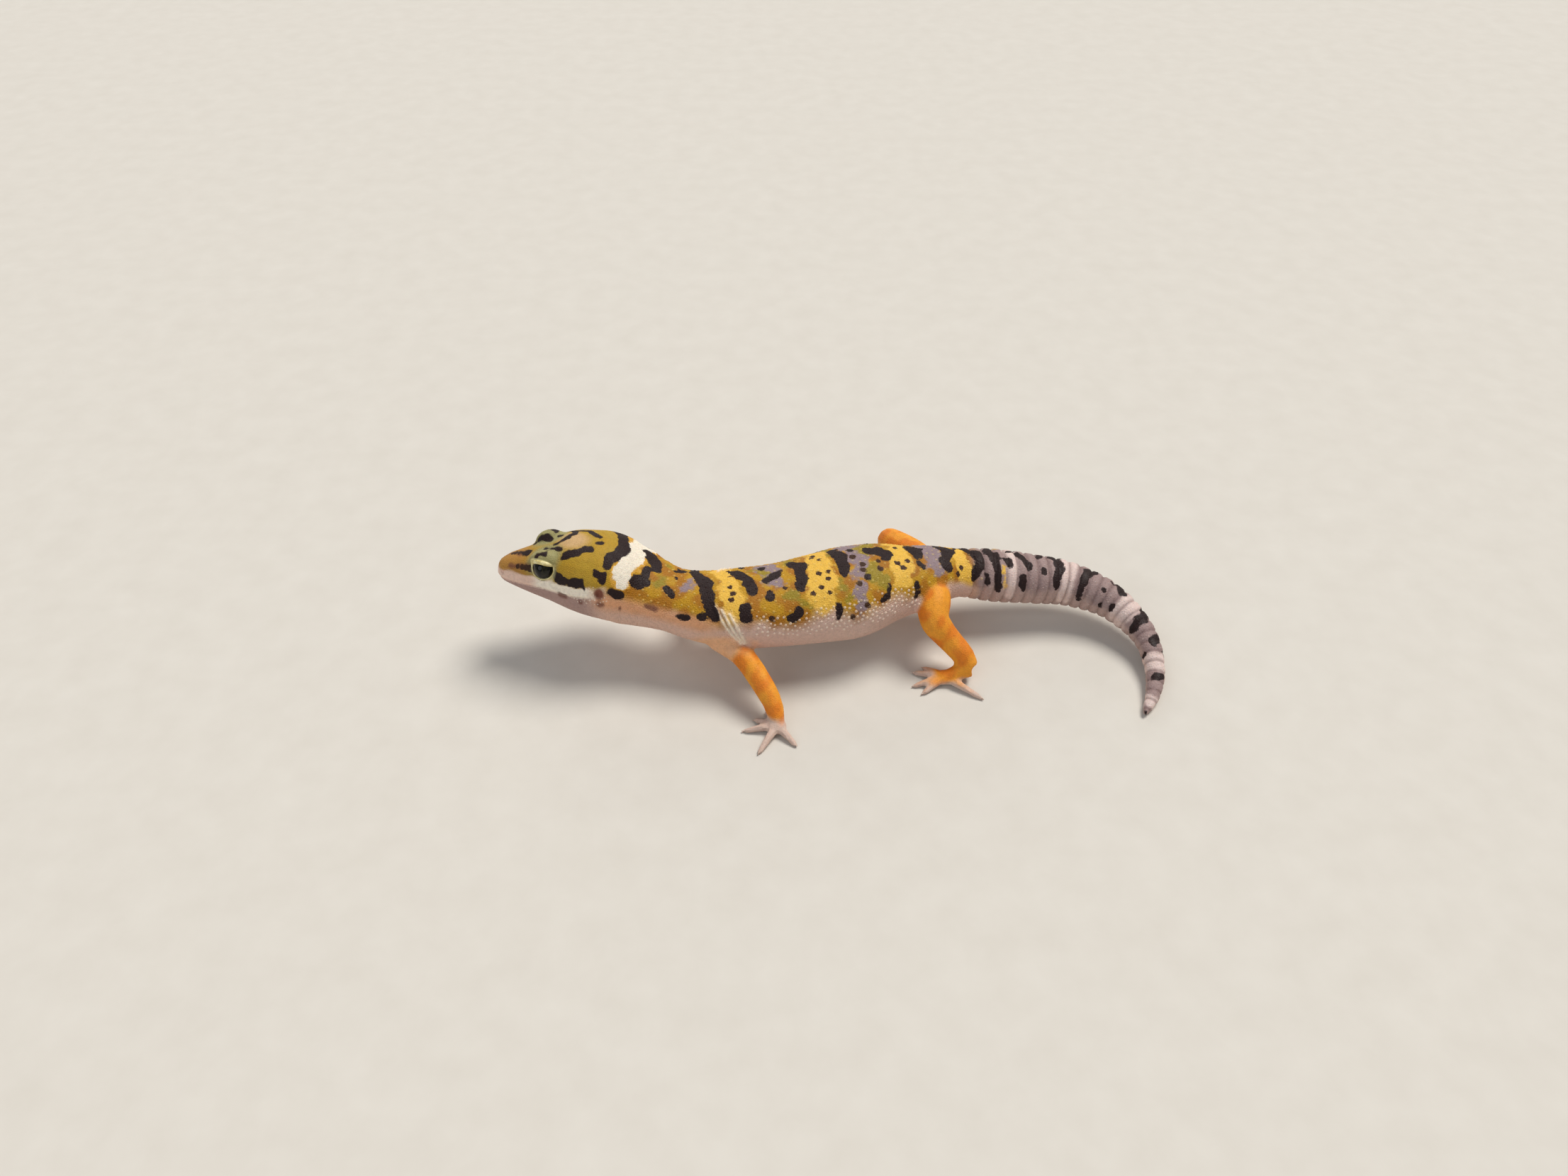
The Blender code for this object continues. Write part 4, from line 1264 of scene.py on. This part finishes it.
def makeScales(skin, fields, points, along, around):
    side = np.abs(around)
    dry = ease(eyeGap(points), eyeRadius + 0.15, eyeRadius + 0.35)
    onLeg = (fields["leg"] > 0.5).astype(float)
    onFoot = (fields["foot"] > 0.5).astype(float)
    off = 1 - onLeg
    back, up = headCoords(points)[::2]
    long, high = cheekPatch["long"], cheekPatch["high"]
    cheek = np.hypot((back - cheekPatch["back"]) / long, (up - cheekPatch["up"]) / high)
    part = {name: off * (along >= low) * (along < end) for name, (low, end) in scaleParts.items()}
    flank = off * ease(side, 56, 64) * ease(side, 94, 86)
    places = {
        "head_scales": part["head"] * dry * (fields["bare"] < 0.5),
        "trunk_scales": part["trunk"] * (fields["fold"] < 0.4),
        "hip_scales": part["hips"],
        "tail_scales": part["tail"] * (fields["ring"] < 0.7),
        "leg_scales": onLeg * (1 - onFoot),
        "foot_scales": onFoot * (points[:, 2] > floorUnder + 0.25),
        "back_tubercles": off * ease(along, 24, 29) * (side < 66) * (along < 84) * (fields["cream"] < -0.4),
        "flank_tubercles": flank * ease(along, 40, 45) * (along < 71),
        "cheek_tubercles": (cheek < 1) * (fields["ear"] < 0.2) * (fields["dark"] < -0.3),
        "tail_tubercles": off * (along >= 84) * (along < 122) * (fields["ring"] < 0.02),
    }
    for name, values in places.items():
        writeField(skin, name, values)
    plain = skinMaterial("scale_skin")
    made = {}
    for name, (radius, height, sides, lean, *pale) in shapes.items():
        material = skinMaterial(f"{name}_skin", *pale) if pale else plain
        made[name] = scaleTemplate(name, radius, height, sides, lean, material)
    for seed, (name, (spacing, shape, sizes)) in enumerate(grains.items(), 3):
        strew(skin, name, spacing, made[shape], sizes, seed)
    for shape in made.values():
        bpy.data.objects.remove(shape)


# Eyes

eyeMake = {
    "segments": (64, 48),
    "inset": 0.01,
    "bulge": 0.1,  # of the cornea
    "corneaReach": 44,  # degrees from the gaze
    "slit": 11,  # half width of the pupil in degrees
    "slitHigh": 42,
    "scallop": (0.25, 9),  # how deep its edge is scalloped, and how often
}


def eyeFinish(tree):
    veins = tree.step(tree.noise(0.35, 4.0, 0.7), 0.35, 0.75)
    iris = tree.mix(veins, srgb(14, 14, 10), srgb(52, 50, 30))
    iris = tree.mix(tree.step(tree.field("offGaze"), 34, 52), iris, srgb(12, 11, 10))
    return {
        "Base Color": tree.mix(tree.step(tree.field("slitWide"), -0.5, 0.5), iris, srgb(3, 3, 4)),
        "Roughness": 0.12,
        "Specular IOR Level": 0.2,
        "Coat Weight": 0.12,
        "Coat Roughness": 0.02,
    }


def makeEye(name, side, material):
    segments, rings = eyeMake["segments"]
    onlySelect()
    bpy.ops.mesh.primitive_uv_sphere_add(
        segments=segments,
        ring_count=rings,
        radius=(eyeRadius - eyeMake["inset"]) * mm,
        location=eyePlaces[side],
        rotation=gazeOf(side).to_track_quat("Z", "Y").to_euler(),
    )
    ball = bpy.context.object
    ball.name = ball.data.name = f"{name}_ball"
    settle(ball)
    gaze = eyeArrays(side)[2]
    points = readPoints(ball)
    out = points - fromEyes(eyePlaces[side])
    out /= np.linalg.norm(out, axis=1)[:, None]
    off = eyeTurn(out, side)[0]
    bulge = eyeMake["bulge"] * ease(eyeMake["corneaReach"] - off, 0, eyeMake["corneaReach"])
    writePoints(ball, points + out * bulge[:, None])
    upright = np.array(upHead) - gaze * (np.array(upHead) @ gaze)
    upright /= np.linalg.norm(upright)
    high = np.degrees(np.arcsin(out @ upright)) / eyeMake["slitHigh"]
    wide = np.degrees(np.arcsin(out @ np.cross(gaze, upright)))
    deep, often = eyeMake["scallop"]
    slit = eyeMake["slit"] * np.sqrt(np.clip(1 - high**2, 0, 1)) * (1 + deep * np.cos(high * often))
    writeField(ball, "offGaze", off)
    writeField(ball, "slitWide", np.where(out @ gaze > 0, slit - np.abs(wide), -9))
    dress(ball, material)
    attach(ball, "root")
    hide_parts(name)


# Lid margins: a pale rim round each eye's opening, thick above

rimMake = {"steps": 96, "sides": 3, "rise": 0.05}


def rimFinish(tree):
    return {
        "Base Color": mottled(tree, 0.5, (0.35, 0.7), (238, 226, 170), (206, 184, 110)),
        "Normal": tree.granules(0.3),
        "Roughness": 0.45,
    }


def makeRim(name, side, material):
    back, up, gaze = eyeAxes(side)
    curve = bpy.data.curves.new(f"{name}_rim", "CURVE")
    curve.dimensions = "3D"
    curve.bevel_depth = mm
    curve.bevel_resolution = rimMake["sides"]
    spline = curve.splines.new("POLY")
    spline.use_cyclic_u = True
    spline.points.add(rimMake["steps"] - 1)
    for n, point in enumerate(spline.points):
        turn = math.tau * n / rimMake["steps"]
        radius, thick = (float(lidSize(size, turn)) for size in ("rim", "thick"))
        off = math.radians(float(rimReach(np.array(turn))))
        out = gaze * math.cos(off) + (back * math.cos(turn) + up * math.sin(turn)) * math.sin(off)
        reach = eyeRadius + thick - radius * 0.5 + rimMake["rise"]
        point.co = (*(eyePlaces[side] + out * reach * mm), 1)
        point.radius = radius
    onlySelect(newObject(f"{name}_rim", curve))
    bpy.ops.object.convert(target="MESH")
    rim = bpy.context.object
    dress(rim, material)
    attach(rim, "root")


# Claws

clawMake = {"long": 0.45, "radius": 0.1, "sides": 8, "drop": 0.4, "back": 0.6, "high": 0.45}
clawSteps = [(0.4, 0.02, 0.8), (0.35, 0.1, 0.62), (0.25, 0.16, 0.3)]  # ahead, down, and narrowing


def clawFinish(tree):
    colour = mottled(tree, 0.4, (0.3, 0.7), (224, 204, 188), (196, 170, 150))
    return {"Base Color": colour, "Roughness": 0.3}


def makeClaws(material):
    onlySelect()
    bpy.ops.mesh.primitive_circle_add(
        vertices=clawMake["sides"],
        radius=clawMake["radius"] * mm,
        fill_type="NGON",
        rotation=(0, math.pi / 2, 0),
    )
    claw = bpy.context.object
    settle(claw)
    openEdit(claw)
    for ahead, down, share in clawSteps:
        extrude(ahead * clawMake["long"] * mm, 0, -down * clawMake["drop"] * mm)
        bpy.ops.transform.resize(value=(share, share, share))
    closeEdit()
    copies = []
    for leg in legs.values():
        pad = Vector(leg["line"][-1][:2])
        for tip in leg["toes"]:
            ahead = (Vector(tip) - pad).normalized()
            start = Vector(tip) - ahead * clawMake["back"]
            copy = newObject("claw", claw.data.copy())
            copy.location = betweenEyes + Vector((*start, floorUnder + clawMake["high"])) * mm
            copy.rotation_euler = (0, 0, math.atan2(ahead.y, ahead.x))
            copies.append(copy)
    bpy.data.objects.remove(claw)
    claws = joined(copies, "claws")
    settle(claws)
    dress(claws, material)
    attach(claws, "root")


# Camera, light and floor

view = {
    "aim": (39.1, -0.1, -7.2),  # from between the eyes
    "elevation": 42,
    "distance": 208,
    "lens": 28.09,
}
lights = {  # where it comes from, degrees it spreads over, strength, colour
    "key": ((0.16, 0.12, 0.34), 28, 2.75, (1.0, 0.97, 0.92)),
    "fill": ((-0.3, -0.35, 0.3), 45, 0.62, (0.92, 0.96, 1.0)),
    "back": ((-0.15, 0.4, 0.2), 36, 0.55, (1.0, 0.98, 0.95)),
}
sky = {"Color": (0.9, 0.93, 1.0, 1), "Strength": 0.26}
floorSize = 9  # in m


def makeCamera():
    data = bpy.data.cameras.new("camera")
    data.lens = view["lens"]
    data.sensor_width = 36
    data.clip_start = 10 * mm
    data.clip_end = 5
    made = newObject("camera", data)
    lift = math.radians(view["elevation"])
    away = Vector((0, -math.cos(lift), math.sin(lift)))
    made.location = betweenEyes + (Vector(view["aim"]) + away * view["distance"]) * mm
    made.rotation_euler = away.to_track_quat("Z", "Y").to_euler()
    bpy.context.scene.camera = made


def floorFinish(tree):
    colour = tree.mix(tree.noise(6.0, 4.0), srgb(206, 200, 190), srgb(216, 211, 202))
    return {"Base Color": colour, "Roughness": 0.9}


def makeStudio():
    for name, (place, spread, strength, colour) in lights.items():
        data = bpy.data.lights.new(name, "SUN")
        data.angle = math.radians(spread)
        data.energy = strength
        data.color = colour
        lamp = newObject(name, data)
        lamp.location = place
        lamp.rotation_euler = Vector(place).to_track_quat("Z", "Y").to_euler()
    world = bpy.data.worlds.new("studio")
    world.use_nodes = True
    tree = Tree(world.node_tree)
    tree.feed(tree.nodes["Background"], sky)
    bpy.context.scene.world = world
    onlySelect()
    bpy.ops.mesh.primitive_plane_add(size=floorSize, location=(0, 0, cadLow.z))
    floor = bpy.context.object
    floor.name = "floor"
    floor.data.materials.append(newMaterial("floor", floorFinish))
    bpy.context.scene.view_settings.view_transform = "Standard"


makeCamera()
makeStudio()
print("camera and studio")
skin = makeSkin()
print("skin", len(skin.data.polygons), "triangles")
painted = paintFields(skin)
dress(skin, skinMaterial("gecko_skin"))
makeScales(skin, *painted)
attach(skin, "root")
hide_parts(*fleshNames)
print("scales")
eyePaint, rimPaint = newMaterial("eye", eyeFinish), newMaterial("lid_rim", rimFinish)
for name, side in eyes.items():
    makeEye(name, side, eyePaint)
    makeRim(name, side, rimPaint)
makeClaws(newMaterial("claw", clawFinish))
print("eyes, lids and claws")
